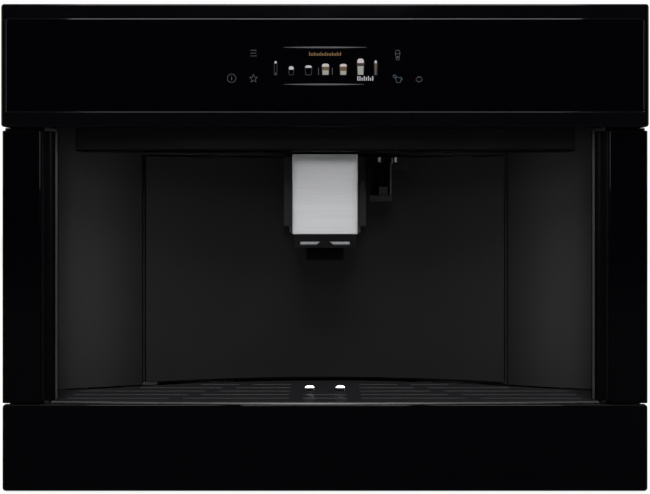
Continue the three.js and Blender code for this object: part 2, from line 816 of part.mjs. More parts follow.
// ---- fixed frame round the door: header, sill and two jambs
function doorFrame() {
  const half = wingInner - headerEndGap;
  const bar = (end, offset, z0, z1) => raise(outline([
    ...wallPoints(-half, end, offset, 18),
    ...wallPoints(end, -half, headerDepth, 18),
  ]), z0, z1);
  const added = [
    bar(half, 0, hoodBottom, nicheTop),
    bar(half, sillSetback, deckTop, doorBottom - fit),
    bar(hingeX + hingeLug, fit, deckTop, doorBottom - fit),
  ];
  const jambInner = doorHalf + jambGap;
  for (const [, s] of sides) {
    added.push(block(s * jambInner, s * (jambInner + jambWidth), jambBack - jambDepth, jambBack,
      deckTop, nicheTop));
  }
  add('door_frame', shaped(added, [
    post(hingeX, hingeD, hingeBore, hoodBottom - 1, hoodBottom + hingePinReach, 12),
    post(hingeX, hingeD, hingeBore, deckTop - 1, doorBottom + 1, 12),
  ]), 'matBlack');
  add('hinge_pin_top', post(hingeX, hingeD, hingePinRadius,
    doorTop - hingePinReach + 1, hoodBottom + hingePinReach - fit, 12), 'polishedSteel');
  add('hinge_pin_bottom', post(hingeX, hingeD, hingePinRadius,
    deckTop + fit, doorBottom + hingePinReach - 1, 12), 'polishedSteel');
}

// ---- service door: hollow shell with a hinge stile and a free edge that turns back
function serviceDoor() {
  const backEdge = at(nicheWall(doorHalf) + doorReturn);
  const shape = outline([
    ...wallPoints(-doorHalf, doorHalf, 0, 20),
    [doorHalf, backEdge],
    [doorHalf - doorWall, backEdge],
    ...wallPoints(doorHalf - doorWall, -doorHalf + doorStile, doorWall, 20),
    [-doorHalf + doorStile, backEdge],
    [-doorHalf, backEdge],
  ]);
  add('service_door', shaped([raise(shape, doorBottom, doorTop)], [
    post(hingeX, hingeD, hingeBore, doorTop - hingePinReach, doorTop + 1, 12),
    post(hingeX, hingeD, hingeBore, doorBottom - 1, doorBottom + hingePinReach, 12),
  ]), 'satinBlack');
}

/** Points of the right half of an outline, then the same ones mirrored on the left, backwards. */
const mirrored = (rightSide) => [...rightSide, ...rightSide.map(([x, y]) => [-x, y]).reverse()];

// ---- guide on the door and the coffee spout that slides in it
function coffeeSpout() {
  const grooveEnd = channelHalf + railReach;
  const grooveBack = railDepth + railWidth;
  add('spout_guide', raise(outline([
    ...wallPoints(-guideHalf, guideHalf, -fit, 6),
    ...mirrored([
      [guideHalf, at(guideFace)], [channelHalf, at(guideFace)], [channelHalf, at(railDepth)],
      [grooveEnd, at(railDepth)], [grooveEnd, at(grooveBack)],
      [channelHalf, at(grooveBack)], [channelHalf, at(nicheDepth - guideBack)],
    ]),
  ]), guideBottom, spoutTop), 'satinBlack');

  const inside = spoutHalf - coverSheet;
  const roundStart = spoutFace + coverSlant;
  const rim = (half, flat, offset) => [
    [half, at(coverBack)], [half, at(roundStart + coverRound)],
    [half - coverRound, at(roundStart + offset)], [flat, at(spoutFace + offset)],
  ];
  const outer = rim(spoutHalf, coverFlat, 0);
  const innerRim = rim(inside, coverFlat, coverSheet);
  add('spout_cover', shaped([
    raise(outline([...mirrored(outer), ...mirrored(innerRim).reverse()]), spoutBottom, spoutTop),
    raise(outline(mirrored([
      [inside + 0.2, at(coverBack)], [inside + 0.2, at(roundStart + coverRound)],
      [coverFlat, at(spoutFace + coverSheet / 2)],
    ])), spoutTop - coverSheet, spoutTop),
  ]), 'brushedSteel');

  const core = inside - fit;
  const ear = grooveEnd - carriageGap;
  const neck = channelHalf - carriageGap;
  const earFront = railDepth + 1;
  const earBack = grooveBack - 1;
  add('spout_carriage', raise(outline(mirrored([
    [core, at(coverBack - railWidth)], [core, at(earFront)], [ear, at(earFront)], [ear, at(earBack)],
    [neck, at(earBack)], [neck, at(nicheDepth - guideBack - carriageGap - 0.1)],
  ])), spoutBottom, spoutTop - coverSheet - fit), 'matBlack');

  const baseFace = spoutFace + coverSlant / 2;
  const lightTop = spoutBaseTop - lightDrop;
  const lightBottom = lightTop - lightHeight;
  const lightEnd = lightInner + lightWidth;
  const lens = (s, gap) => outline([
    [s * (lightEnd + gap), lightBottom - gap], [s * (lightEnd + gap), lightTop + gap],
    [s * (lightInner - 2 * gap), lightTop + gap], [s * (lightInner + lightSlant - gap), lightBottom - gap],
  ]);
  const windows = [];
  for (const [side, s] of sides) {
    windows.push(pushBack(lens(s, fit), baseFace - 1, baseFace + lightThick));
    add(`spout_light_${side}`, pushBack(lens(s, 0), baseFace + 0.2, baseFace + lightThick - fit),
      'whiteLight');
  }
  const baseHalf = inside - spoutBaseInset;
  add('spout_base', shaped(
    [raise(roundRect(-baseHalf, at(baseFace), baseHalf, at(coverBack + spoutBaseReach), spoutBaseRound),
      spoutBaseBottom, spoutBaseTop)], windows), 'glossBlack');

  const nozzleHalf = nozzleWidth / 2;
  const nozzleFace = spoutFace + nozzleInset;
  const nozzleBottom = nozzleTop - nozzleHeight;
  const mouthD = nozzleFace + nozzleDepth / 2;
  const mouths = sides.map(([, s]) => post(s * outletSpread, mouthD, outletRadius + outletWall,
    nozzleBottom, nozzleBottom + 2 * outletDrop, 16));
  const bores = sides.map(([, s]) => post(s * outletSpread, mouthD, outletRadius,
    nozzleBottom - 1, nozzleTop - outletRoof, 16));
  add('coffee_nozzle', shaped([
    raise(roundRect(-nozzleHalf, at(nozzleFace), nozzleHalf, at(nozzleFace + nozzleDepth), nozzleRound),
      nozzleBottom + outletDrop, nozzleTop),
    ...mouths,
  ], bores), 'matBlack');
}

// ---- hot water connector on the door, and the outlet that plugs into it
function hotWater() {
  const wall = nicheWall(waterCentre);
  const socketFace = wall - socketReach;
  const left = waterCentre - connectorLeft;
  const right = waterCentre + connectorRight;
  add('water_connector', shaped(
    [raise(outline([
      ...wallPoints(left, right, -fit, 3),
      [right, at(nicheWall(right) - connectorWall)], [left, at(nicheWall(left) - connectorWall)],
    ]), plugHeight - connectorDrop, doorTop),
    rod(waterCentre, plugHeight, plugRadius + plugClearance + socketWall, socketFace, wall - socketRoot)],
    [rod(waterCentre, plugHeight, plugRadius + plugClearance, socketFace - 1, wall - socketRoot - 1, 12)]),
  'matBlack');

  const bodyLeft = waterCentre - waterLeft;
  const bodyRight = waterCentre + waterRight;
  const bodyBack = socketFace - waterGap;
  const bodyFront = bodyBack - waterDepth;
  const bodyBottom = plugHeight - waterDrop;
  const ledgeTop = bodyBottom + waterLedge;
  const headBottom = plugHeight - headDrop;
  const headTop = plugHeight + headRise;
  const seat = headBottom + headFlange;
  const headD = bodyBack - headRadius - collarWall - fit + 0.4;
  const collarRadius = headRadius + fit + collarWall;
  const tubeX = waterCentre - waterLeft + waterWall + waterBlock * 1.3;
  const tubeD = bodyBack - waterBackWall - waterBlock / 2 - 0.5;
  const blockTop = ledgeTop + waterBlock;
  const channelTop = headBottom - waterWall;
  add('hot_water_spout', shaped([
    geometryOf(solid(block(bodyLeft, bodyRight, bodyFront, bodyBack, bodyBottom, headBottom + 0.5))
      .subtract(solid(block(bodyLeft + waterWall, bodyRight - waterWall, bodyFront - 1,
        bodyBack - waterBackWall, ledgeTop, channelTop)))
      .subtract(solid(block(bodyLeft - 1, bodyLeft + waterWall + 1, bodyFront - 1,
        bodyFront + waterShort, ledgeTop, channelTop)))),
    turned([[0, headBottom], [collarRadius, headBottom], [collarRadius, seat], [headRadius, seat],
      [headRadius, headTop - 1], [headRadius - 1, headTop], [0, headTop]], waterCentre, headD, 24),
    rod(waterCentre, plugHeight, plugRadius, headD, headD + headRadius + plugLength, 12),
    post(tubeX, tubeD, waterTubeRadius, blockTop - 1, channelTop + 1, 12),
    block(tubeX - waterBlock / 2, tubeX + waterBlock / 2, tubeD - waterBlock / 2,
      bodyBack - waterBackWall + 1, ledgeTop - 1, blockTop),
  ], [post(tubeX, tubeD, waterBore, bodyBottom - 1, ledgeTop, 10)]), 'glossBlack');
  const band = (radius, gap) => post(waterCentre, headD, radius, seat + fit - gap, headTop - 1.2 + gap, 24);
  add('outlet_collar', shaped([band(collarRadius, 0)], [
    band(headRadius + fit, 1),
    rod(waterCentre, plugHeight, plugRadius + fit, headD, headD + headRadius + plugLength, 12),
  ]), 'polishedSteel');
}

// ---- drip drawer: glass, carrier, tray with its deck, grounds container, grille
function drawerFront() {
  add('lower_panel', pushBack(roundRect(-frontHalf, panelLift, frontHalf, lowerTop, frontCorner),
    0, lowerGlassThick, lowerGlassBevel), 'blackGlass');
  const front = lowerGlassThick + fit;
  const bottom = panelLift + carrierLift;
  const top = deckTop - deckThick - fit;
  const shell = block(-frameHalf, frameHalf, front, frontDepth, bottom, top);
  const hollow = block(-frameHalf + carrierWall, frameHalf - carrierWall, front + carrierWall,
    frontDepth + 1, bottom + carrierWall, top - carrierWall);
  const ribs = [];
  const ribCount = Math.floor((frameHalf - carrierWall) / carrierRibPitch);
  for (let i = -ribCount; i <= ribCount; i++) {
    const x = i * carrierRibPitch;
    ribs.push(block(x - carrierRib / 2, x + carrierRib / 2, front + 1, frontDepth, bottom + 1, top - 1));
  }
  add('drawer_front', shaped([geometryOf(solid(shell).subtract(solid(hollow))), ...ribs]), 'matBlack');
}

/** Outline of the drip deck, its front drawn back by an offset. */
function deckOutline(front, steps) {
  return outline([
    ...lipPoints(-lipHalf, lipHalf, front, steps),
    [lipHalf, at(lipStep)],
    [deckHalf, at(lipStep + lipStepSlant)],
    ...wallPoints(deckHalf, -deckHalf, -deckGap, 2 * steps),
    [-deckHalf, at(lipStep + lipStepSlant)],
    [-lipHalf, at(lipStep)],
  ]);
}

/** Outline with straight sides, for the grille and the basin under it. */
function basinOutline(front, half, rear, steps) {
  return outline([
    ...lipPoints(-half, half, front, steps),
    ...wallPoints(half, -half, -deckGap - rear, 2 * steps),
  ]);
}

function dripTray() {
  const deckBottom = deckTop - deckThick;
  const pocketBottom = deckTop - grilleThick - fit;
  const basinFront = chassisFront + 1 - lipFront;
  const undercut = lowerGlassThick + fit + 1 - lipFront;
  const well = carriageHalf - trayWall;
  const added = [
    raise(deckOutline(0, 14), deckTop - lipThick, deckTop),
    raise(deckOutline(undercut, 14), deckBottom, deckTop - lipThick + 0.5),
    raise(basinOutline(basinFront, grilleHalf, 1, 14), trayBottom, deckBottom + 0.5),
    raise(roundRect(-carriageHalf, at(carriageFront), carriageHalf, at(carriageBack), 2 * trayWall),
      trayBottom, carriageTop),
  ];
  const removed = [
    raise(basinOutline(rimWidth - grilleGap, grilleHalf + grilleGap, rearRim - grilleGap, 14),
      pocketBottom, deckTop + 1),
    raise(basinOutline(basinFront + trayWall, grilleHalf - ledge, rearRim + ledge, 14),
      trayBottom + trayWall, deckTop + 1),
    raise(roundRect(-well, at(nicheDepth + trayWall), well, at(carriageBack - trayWall), trayWall),
      trayBottom + trayWall, carriageTop + 1),
  ];
  add('drip_tray', shaped(added, removed), 'glossBlack');

  const middle = (containerBack + containerFront) / 2;
  const rings = (wall, bottom) => [
    ring(0, middle, containerHalf - containerTaper - wall, containerDepth / 2 - containerTaper - wall,
      containerRound - 2, bottom),
    ring(0, middle, containerHalf - wall, containerDepth / 2 - wall, containerRound, containerTop + wall),
  ];
  add('grounds_container', shaped(
    [loft(rings(0, containerBottom))],
    [loft(rings(containerWall, containerBottom + containerWall))]), 'greyPlastic');
}

/** One straight slot with round ends, along X, through the grille. */
function slot(x0, x1, d) {
  const r = slotWidth / 2;
  const shape = new THREE.Shape();
  shape.absarc(x1 - r, at(d), r, -Math.PI / 2, Math.PI / 2);
  shape.absarc(x0 + r, at(d), r, Math.PI / 2, 1.5 * Math.PI);
  return raise(shape, deckTop - grilleThick - 1, deckTop + 1, 0, 4);
}

/** Outer end of the slots in the row at d: short of the grille's side or of the niche's wall. */
function slotEnd(d) {
  let x = grilleHalf - slotSide;
  while (nicheWall(x) - slotRear < d + slotWidth / 2) x -= 0.5;
  return x;
}

function cupGrille() {
  const plate = raise(basinOutline(rimWidth, grilleHalf, rearRim, 14), deckTop - grilleThick, deckTop);
  const cuts = [];
  for (let row = 0; row < slotCount; row++) {
    const d = slotFront + row * slotPitch;
    const bridge = bridgeRear + (slotCount - 1 - row) * bridgeStep;
    const end = slotEnd(d);
    for (const [, s] of sides) {
      for (const [from, to] of [[slotInner, bridge - bridgeWidth / 2], [bridge + bridgeWidth / 2, end]]) {
        cuts.push(slot(Math.min(s * from, s * to), Math.max(s * from, s * to), d));
      }
    }
    if (row < centreRows) cuts.push(slot(-centreHalf, centreHalf, d));
  }
  const half = drainWidth / 2 + drainWall;
  const drainBack = drainFront + drainLength;
  const rimFront = drainFront - drainWall;
  const rimBack = drainBack + drainLip;
  for (const [, s] of sides) {
    cuts.push(block(s * drainPlace - half - fit, s * drainPlace + half + fit, rimFront - fit, rimBack + fit,
      deckTop - grilleThick - 1, deckTop + 1));
  }
  add('cup_grille', shaped([plate], cuts), 'glossBlack');

  const lipTop = deckTop + drainLipRise;
  for (const [side, s] of sides) {
    const x = s * drainPlace;
    const lip = solid(drawAcross(outline([
      [at(drainBack), deckTop - 1], [at(rimBack), deckTop - 1], [at(rimBack), deckTop + drainRise],
      [at(drainBack + drainLip * 0.6), lipTop], [at(drainBack + drainLipLean), lipTop],
      [at(drainBack), deckTop],
    ]), x - half, x + half)).intersect(solid(pushBack(
      roundRect(x - half, deckTop - 2 * drainLipRound, x + half, lipTop, drainLipRound),
      drainBack - 1, rimBack + 1, 0, 4)));
    add(`drain_rim_${side}`, shaped([
      block(x - half, x + half, rimFront, rimBack, deckTop - grilleThick, deckTop + drainRise),
      geometryOf(lip),
    ], [block(x - drainWidth / 2, x + drainWidth / 2, drainFront, drainBack,
      deckTop - grilleThick - 1, deckTop + 2)]), 'polishedSteel');
  }
}

// ---- chassis: pan with feet, side panels with the runners' inner members, back, top, inner deck
function chassis() {
  const panHalf = chassisInner - fit;
  const panBack = plateFront - sheet - 2 * fit;
  const pan = [block(-panHalf, panHalf, chassisFront, plateFront - fit, panHeight, panTop)];
  for (const [, s] of sides) {
    pan.push(block(s * (panHalf - panSheet), s * panHalf, chassisFront, panBack,
      panHeight, panTop + panSide));
    pan.push(block(s * panRailPlace - panRail / 2, s * panRailPlace + panRail / 2,
      chassisFront + 2 * runnerStart, carriageBack, panTop - 0.5, trayBottom - fit));
    for (const d of [chassisFront + footFront, plateFront - footInset]) {
      pan.push(post(s * (chassisHalf - footInset), d, footRadius, 0, panHeight + 0.5, 20));
    }
  }
  add('base_pan', shaped(pan), 'zincSheet');

  const sideBottom = panTop + fit;
  const sideTop = chassisTop - sheet - fit;
  const sideBack = plateFront - fit;
  const flangeEdge = chassisHalf - rearFlange;
  for (const [side, s] of sides) {
    const plan = outline([
      [s * chassisHalf, at(chassisFront)], [s * chassisHalf, at(sideBack)],
      [s * flangeEdge, at(sideBack)], [s * flangeEdge, at(sideBack - sheet)],
      [s * chassisInner, at(sideBack - sheet)], [s * chassisInner, at(chassisFront)],
    ]);
    const half = runnerHalfHeight - runnerNest;
    const railEnd = chassisHalf + runnerInner;
    const web = chassisHalf + runnerSheet;
    const rail = pushBack(outline([
      [s * (chassisHalf - 0.5), runnerCentre - half], [s * railEnd, runnerCentre - half],
      [s * railEnd, runnerCentre - half + runnerSheet], [s * web, runnerCentre - half + runnerSheet],
      [s * web, runnerCentre + half - runnerSheet], [s * railEnd, runnerCentre + half - runnerSheet],
      [s * railEnd, runnerCentre + half], [s * (chassisHalf - 0.5), runnerCentre + half],
    ]), runnerFront, runnerEnd);
    add(`side_panel_${side}`, shaped([raise(plan, sideBottom, sideTop), rail]), 'zincSheet');
  }

  const cuts = [];
  for (let i = 0; i < ventRows; i++) {
    const z = chassisTop - ventDrop + i * ventPitch;
    for (const x of [ventLeft, ventLeft + ventStep]) {
      cuts.push(block(x, x + ventWidth, plateFront - 1, rearDepth + 1, z, z + ventHeight));
    }
  }
  const cutHeight = inletHalfHeight + fit + 0.1;
  for (const [x, half] of [[inletX, inletHalfWidth + fit + 0.1], [switchX, rockerHalf + fit]]) {
    cuts.push(block(x - half, x + half, plateFront - 1, rearDepth + 1,
      inletHeight - cutHeight, inletHeight + cutHeight));
  }
  add('rear_panel', shaped(
    [block(-chassisHalf, chassisHalf, plateFront, rearDepth, sideBottom, sideTop)], cuts), 'zincSheet');

  const hopperHole = hopperHalf + hopperMargin;
  const hole = (x0, x1, d0, d1) => block(x0, x1, d0, d1, chassisTop - 5, chassisTop + 5);
  add('top_panel', shaped(
    [block(-chassisHalf, chassisHalf, chassisFront, rearDepth, chassisTop - sheet, chassisTop)], [
      hole(grinderX - hopperHole, grinderX + hopperHole, grinderD - hopperHole, grinderD + hopperHole),
      hole(tankLeft - tankMargin, tankRight + tankMargin, tankFront - tankMargin, tankBack + tankMargin),
    ]), 'zincSheet');

  add('inner_deck', shaped(
    [block(-panHalf, panHalf, jambBack + fit, panBack, innerDeckTop - innerDeckSheet, innerDeckTop)],
    [block(brewLeft + deckHoleInset, brewRight - deckHoleInset, brewFront + deckHoleInset,
      brewBack - deckHoleInset, deckTop - 1, innerDeckTop + 1)]), 'zincSheet');
}

// ---- runners: middle and cabinet members, nested C sections on each side
function runners() {
  const outer = chassisHalf + runnerThick;
  const middleHalf = runnerHalfHeight - runnerSheet - fit;
  const middleWeb = chassisHalf + runnerInner + fit;
  for (const [side, s] of sides) {
    const channel = (web0, web1, tip, half) => pushBack(outline([
      [s * tip, runnerCentre - half], [s * web1, runnerCentre - half], [s * web1, runnerCentre + half],
      [s * tip, runnerCentre + half], [s * tip, runnerCentre + half - runnerSheet],
      [s * web0, runnerCentre + half - runnerSheet], [s * web0, runnerCentre - half + runnerSheet],
      [s * tip, runnerCentre - half + runnerSheet],
    ]), runnerFront, runnerEnd);
    add(`runner_cabinet_${side}`, channel(outer - runnerSheet, outer, outer - runnerOuter, runnerHalfHeight),
      'polishedSteel');
    add(`runner_middle_${side}`, channel(middleWeb + runnerSheet, middleWeb, outer - runnerSheet - fit,
      middleHalf), 'zincSheet');
  }
}

/** Flat lid with a grip strip along its front, over an opening between x0 and x1, d0 and d1. */
function lid(name, x0, x1, d0, d1, finish) {
  const grip = (x0 + x1) / 2;
  add(name, shaped([
    raise(roundRect(x0, at(d0), x1, at(d1), lidRound), lidBottom, lidBottom + lidSheet, lidBevel),
    drawAcross(roundRect(at(d0 + gripDepth), lidBottom + 1, at(d0 + 2 * gripDepth),
      lidBottom + lidSheet + gripHeight, gripDepth / 3), grip - gripHalf, grip + gripHalf),
  ]), finish);
}

// ---- grinder with its hopper
function grinder() {
  add('grinder_motor', turned([
    [0, stepUp], [motorRadius, stepUp], [motorRadius, motorTop - motorChamfer],
    [motorRadius - motorChamfer, motorTop], [0, motorTop],
  ], grinderX, grinderD), 'greyPlastic');
  const bottom = motorTop + fit;
  const top = hopperBottom - fit;
  const shaft = shaftRadius + shaftGap;
  const chamber = grinderRadius - grinderWall;
  add('grinder_housing', turned([
    [shaft, bottom], [grinderRadius, bottom], [grinderRadius, top], [throatMouth, top],
    [throatRadius, top - throatDepth], [burrRadius + shaftGap, top - chamberTop],
    [chamber, top - chamberTop - shaftGap * 2], [chamber, bottom + grinderFloor],
    [shaft, bottom + grinderFloor], [shaft, bottom],
  ], grinderX, grinderD), 'greyPlastic');
  add('burr_cone', turned([
    [0, bottom], [shaftRadius, bottom], [shaftRadius, top - burrDrop], [burrRadius, top - burrDrop],
    [burrRadius, top - burrDrop + burrRim], [burrTip, top - burrTop - shaftGap],
    [0, top - burrTop + shaftGap],
  ], grinderX, grinderD), 'polishedSteel');

  const hopperTop = chassisTop + fit + rimSheet;
  const round = (radius, z) => ring(grinderX, grinderD, radius, radius, radius - 0.01, z);
  const square = (half, z) => ring(grinderX, grinderD, half, half, hopperRound, z);
  const rings = (wall, extra) => [
    round(hopperNeck - wall, hopperBottom - extra),
    round(hopperNeckTop - wall, hopperBottom + hopperNeckHeight),
    square(hopperHalf - wall, hopperBottom + hopperShoulder),
    square(hopperHalf - wall, hopperTop + extra),
  ];
  const rim = hopperHalf + hopperRim;
  add('bean_hopper', shaped([
    loft(rings(0, 0)),
    raise(roundRect(grinderX - rim, at(grinderD - rim), grinderX + rim, at(grinderD + rim), lidRound),
      chassisTop + fit, hopperTop),
  ], [loft(rings(hopperWall, 1))]), 'clearPlastic');
  lid('hopper_lid', grinderX - rim, grinderX + rim, grinderD - rim, grinderD + rim, 'clearPlastic');
}

// ---- water tank on its shelf
function waterTank() {
  const x = (tankLeft + tankRight) / 2;
  const d = (tankFront + tankBack) / 2;
  const halfX = tankWidth / 2;
  const halfY = tankDepth / 2;
  const bottom = shelfTop + fit;
  const rings = (wall, lift, extra) => [
    ring(x, d, halfX - tankTaper - wall, halfY - tankTaper - wall, tankRound, bottom + lift),
    ring(x, d, halfX - wall, halfY - wall, tankRound, lidBottom - fit + extra),
  ];
  add('water_tank', shaped([loft(rings(0, 0, 0))], [
    loft(rings(tankWall, tankWall, 1)),
    post(x, d, valveRadius, bottom - 1, bottom + 2 * tankWall, 12),
  ]), 'clearPlastic');
  lid('tank_lid', tankLeft - tankRim, tankRight + tankRim, tankFront - tankRim, tankBack + tankRim,
    'matBlack');
  const inner = chassisInner - fit;
  const left = tankLeft - shelfMargin;
  const front = tankFront - shelfMargin;
  const back = tankBack + shelfMargin;
  const bottomZ = shelfTop - shelfSheet;
  add('tank_shelf', shaped([
    block(left, inner, front, back, bottomZ, shelfTop),
    block(left, left + shelfWall, front, back, bottomZ, shelfTop + shelfSide),
    block(left, inner, front, front + shelfWall, bottomZ, shelfTop + shelfSide),
    post(x, d, waterSocketRadius, shelfTop - socketDrop, bottomZ + 1, 16),
    post(x, d, stemRadius, shelfTop - 1, shelfTop + stemRise, 12),
  ]), 'greyPlastic');
}

// ---- brew unit, its gearbox, heater and pump on the inner deck
function waterworks() {
  const middle = (brewFront + brewBack) / 2;
  const sideTop = brewTop - brewSideDrop;
  const bridge = stepUp + brewBridgeRise;
  add('brew_unit', shaped([
    block(brewLeft, brewLeft + brewWall, brewFront, brewBack, stepUp, sideTop),
    block(brewRight - brewWall, brewRight, brewFront, brewBack, stepUp, sideTop),
    block(brewLeft, brewRight, brewBack - brewBackWall, brewBack, stepUp, brewTop - brewBackDrop),
    block(brewLeft, brewRight, brewFront, brewBack, bridge, bridge + brewBridge),
    post(brewCentre, middle, brewChamberRadius, stepUp + brewChamberRise, brewTop, 28),
    post(brewCentre, middle, pistonRadius, brewTop - 1, brewTop + pistonRise, 20),
  ], [post(brewCentre, middle, brewChamberBore, stepUp + brewChamberRise - 1,
    stepUp + brewChamberRise + brewBoreDepth, 24)]), 'greyPlastic');

  const gearLeft = brewRight + fit;
  const gearTop = stepUp + gearboxLift + gearboxHeight;
  const gearBack = middle + gearboxHalf;
  add('brew_motor', shaped([
    block(gearLeft, gearLeft + gearboxWidth, middle - gearboxHalf, gearBack, stepUp + gearboxLift, gearTop),
    rod(gearLeft + gearboxWidth / 2, gearTop - 2 * motorCanRadius, motorCanRadius, gearBack - 1,
      gearBack + motorCanLength, 18),
  ]), 'castAluminium');

  const heaterBack = rearDepth - heaterRear;
  const heaterFront = heaterBack - heaterFins * finPitch;
  const heaterTop = stepUp + heaterHeight;
  const fins = [];
  for (let i = heaterFins - 1; i >= 0; i--) {
    const front = at(heaterFront + i * finPitch + finThick);
    const back = at(heaterFront + i * finPitch + 2 * finThick);
    fins.push([back, heaterTop], [back, heaterTop + finHeight], [front, heaterTop + finHeight],
      [front, heaterTop]);
  }
  add('thermoblock', drawAcross(outline([
    [at(heaterFront), stepUp], [at(heaterBack), stepUp], [at(heaterBack), heaterTop], ...fins,
    [at(heaterFront), heaterTop],
  ]), heaterLeft, heaterLeft + heaterWidth), 'castAluminium');

  const pumpFront = nicheDepth + pumpGap;
  const pumpMiddle = at(pumpFront + pumpDepth / 2);
  const pumpRight = pumpLeft + pumpWidth;
  const bodyLeft = pumpLeft + pumpBodyLeft;
  const bodyRight = bodyLeft + pumpBodyWidth;
  const lying = (radius, x0, x1, segments) => new THREE.CylinderGeometry(radius, radius, x1 - x0, segments)
    .rotateZ(Math.PI / 2)
    .translate((x0 + x1) / 2, pumpMiddle, stepUp + pumpAxis);
  add('water_pump', shaped([
    block(pumpLeft, pumpRight, pumpFront, pumpFront + pumpDepth, stepUp, stepUp + pumpFoot),
    block(bodyLeft, bodyRight, pumpFront + pumpBodyInset, pumpFront + pumpDepth - pumpBodyInset,
      stepUp + pumpFoot - 1, stepUp + pumpHeight),
    lying(pumpCoilRadius, bodyRight - 1, bodyRight - 1 + pumpCoilLength, 18),
    lying(pumpPipeRadius, bodyLeft - pumpPipeLength + 1, bodyLeft + 1, 14),
  ]), 'greyPlastic');
}

// ---- power board, mains inlet and rocker switch on the back
function electrics() {
  const top = chassisTop - powerDrop;
  const bottom = top - powerHeight;
  const right = powerLeft + powerWidth;
  const boardFront = plateFront - powerStand - powerSheet;
  const boardBack = plateFront - powerStand;
  const part = (x, width, z, height, depth) => block(x, x + width, boardFront - depth, boardFront + 0.5,
    z, z + height);
  const stands = [];
  for (const x of [powerLeft + standInset, right - standInset]) {
    for (const z of [bottom + standInset, top - standInset]) {
      stands.push(rod(x, z, standRadius, boardBack - 0.5, plateFront - fit, 10));
    }
  }
  add('power_board', shaped([
    block(powerLeft, right, boardFront, boardBack, bottom, top),
    part(powerLeft + heatSinkLeft, heatSinkWidth, bottom + heatSinkLeft, heatSinkHeight, heatSinkDepth),
    part(powerLeft + relayLeft, heatSinkWidth, bottom + heatSinkLeft + standInset, relayHeight, relayDepth),
    rod(powerLeft + heatSinkLeft + heatSinkWidth / 2, top - heatSinkWidth * 0.7, capacitorRadius,
      boardFront - heatSinkDepth, boardFront + 0.5, 18),
    ...stands,
  ]), 'circuitGreen');

  const pocketHalf = inletHalfWidth - inletWall;
  const pocketRise = inletHalfHeight - inletWall - 1;
  add('mains_inlet', shaped([
    block(inletX - inletHalfWidth, inletX + inletHalfWidth, plateFront - inletDepth, rearDepth,
      inletHeight - inletHalfHeight, inletHeight + inletHalfHeight),
    block(inletX - inletHalfWidth - inletFlange, inletX + inletHalfWidth + inletFlange,
      plateFront - inletFlange, plateFront - fit,
      inletHeight - inletHalfHeight - inletFlange, inletHeight + inletHalfHeight + inletFlange),
  ], [
    block(inletX - pocketHalf, inletX + pocketHalf, plateFront - inletDepth + inletFloor, rearDepth + 1,
      inletHeight - pocketRise, inletHeight + pocketRise),
  ]), 'matBlack');
  add('power_switch', drawAcross(outline([
    [at(plateFront - rockerDepth), inletHeight - rockerHeight + 0.5],
    [at(rearDepth - 0.2), inletHeight - rockerHeight], [at(rearDepth - 1.2), inletHeight],
    [at(rearDepth - 0.2), inletHeight + rockerHeight],
    [at(plateFront - rockerDepth), inletHeight + rockerHeight - 0.5],
  ]), switchX - rockerHalf, switchX + rockerHalf), 'matBlack');
}

controlPanel();
frontFrame();
nicheSides();
nicheRoof();
doorFrame();
serviceDoor();
coffeeSpout();
hotWater();
drawerFront();
dripTray();
cupGrille();
chassis();
runners();
grinder();
waterTank();
waterworks();
electrics();

export default machine;
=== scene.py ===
"""Looks of a built-in coffee machine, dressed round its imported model.

Metres, +Z up, the front looks along -Y and +X is the viewer's right. Every sub-assembly is a class
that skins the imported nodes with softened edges, adds its small fittings and gives each its finish.
"""

import json
import logging
import math
from dataclasses import dataclass, field
from enum import Enum
from typing import Any, Callable, Sequence

import bmesh
import bpy
from mathutils import Matrix, Vector

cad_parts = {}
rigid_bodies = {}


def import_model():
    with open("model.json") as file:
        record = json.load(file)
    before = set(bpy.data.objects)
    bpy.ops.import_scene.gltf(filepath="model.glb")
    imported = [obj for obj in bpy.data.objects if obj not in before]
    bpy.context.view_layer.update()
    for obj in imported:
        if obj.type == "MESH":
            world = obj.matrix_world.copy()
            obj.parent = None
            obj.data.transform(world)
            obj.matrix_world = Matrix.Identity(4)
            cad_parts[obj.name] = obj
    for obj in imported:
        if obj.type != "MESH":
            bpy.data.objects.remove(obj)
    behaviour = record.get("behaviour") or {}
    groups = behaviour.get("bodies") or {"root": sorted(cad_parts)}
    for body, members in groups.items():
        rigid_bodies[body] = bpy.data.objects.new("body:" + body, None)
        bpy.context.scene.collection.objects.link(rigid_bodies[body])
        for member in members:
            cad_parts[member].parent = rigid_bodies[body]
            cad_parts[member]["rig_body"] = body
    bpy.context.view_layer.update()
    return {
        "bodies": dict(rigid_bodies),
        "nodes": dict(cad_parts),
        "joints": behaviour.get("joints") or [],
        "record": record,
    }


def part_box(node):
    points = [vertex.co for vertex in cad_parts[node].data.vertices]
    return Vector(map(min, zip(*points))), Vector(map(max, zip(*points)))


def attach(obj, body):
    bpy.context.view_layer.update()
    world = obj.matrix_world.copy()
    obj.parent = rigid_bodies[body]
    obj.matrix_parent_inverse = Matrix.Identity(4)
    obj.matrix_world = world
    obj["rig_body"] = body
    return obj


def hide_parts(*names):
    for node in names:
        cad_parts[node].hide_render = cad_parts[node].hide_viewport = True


LOG = logging.getLogger("coffee_machine")
MM = 0.001

Colour = tuple[float, float, float]
Point = tuple[float, float]
Socket = bpy.types.NodeSocket


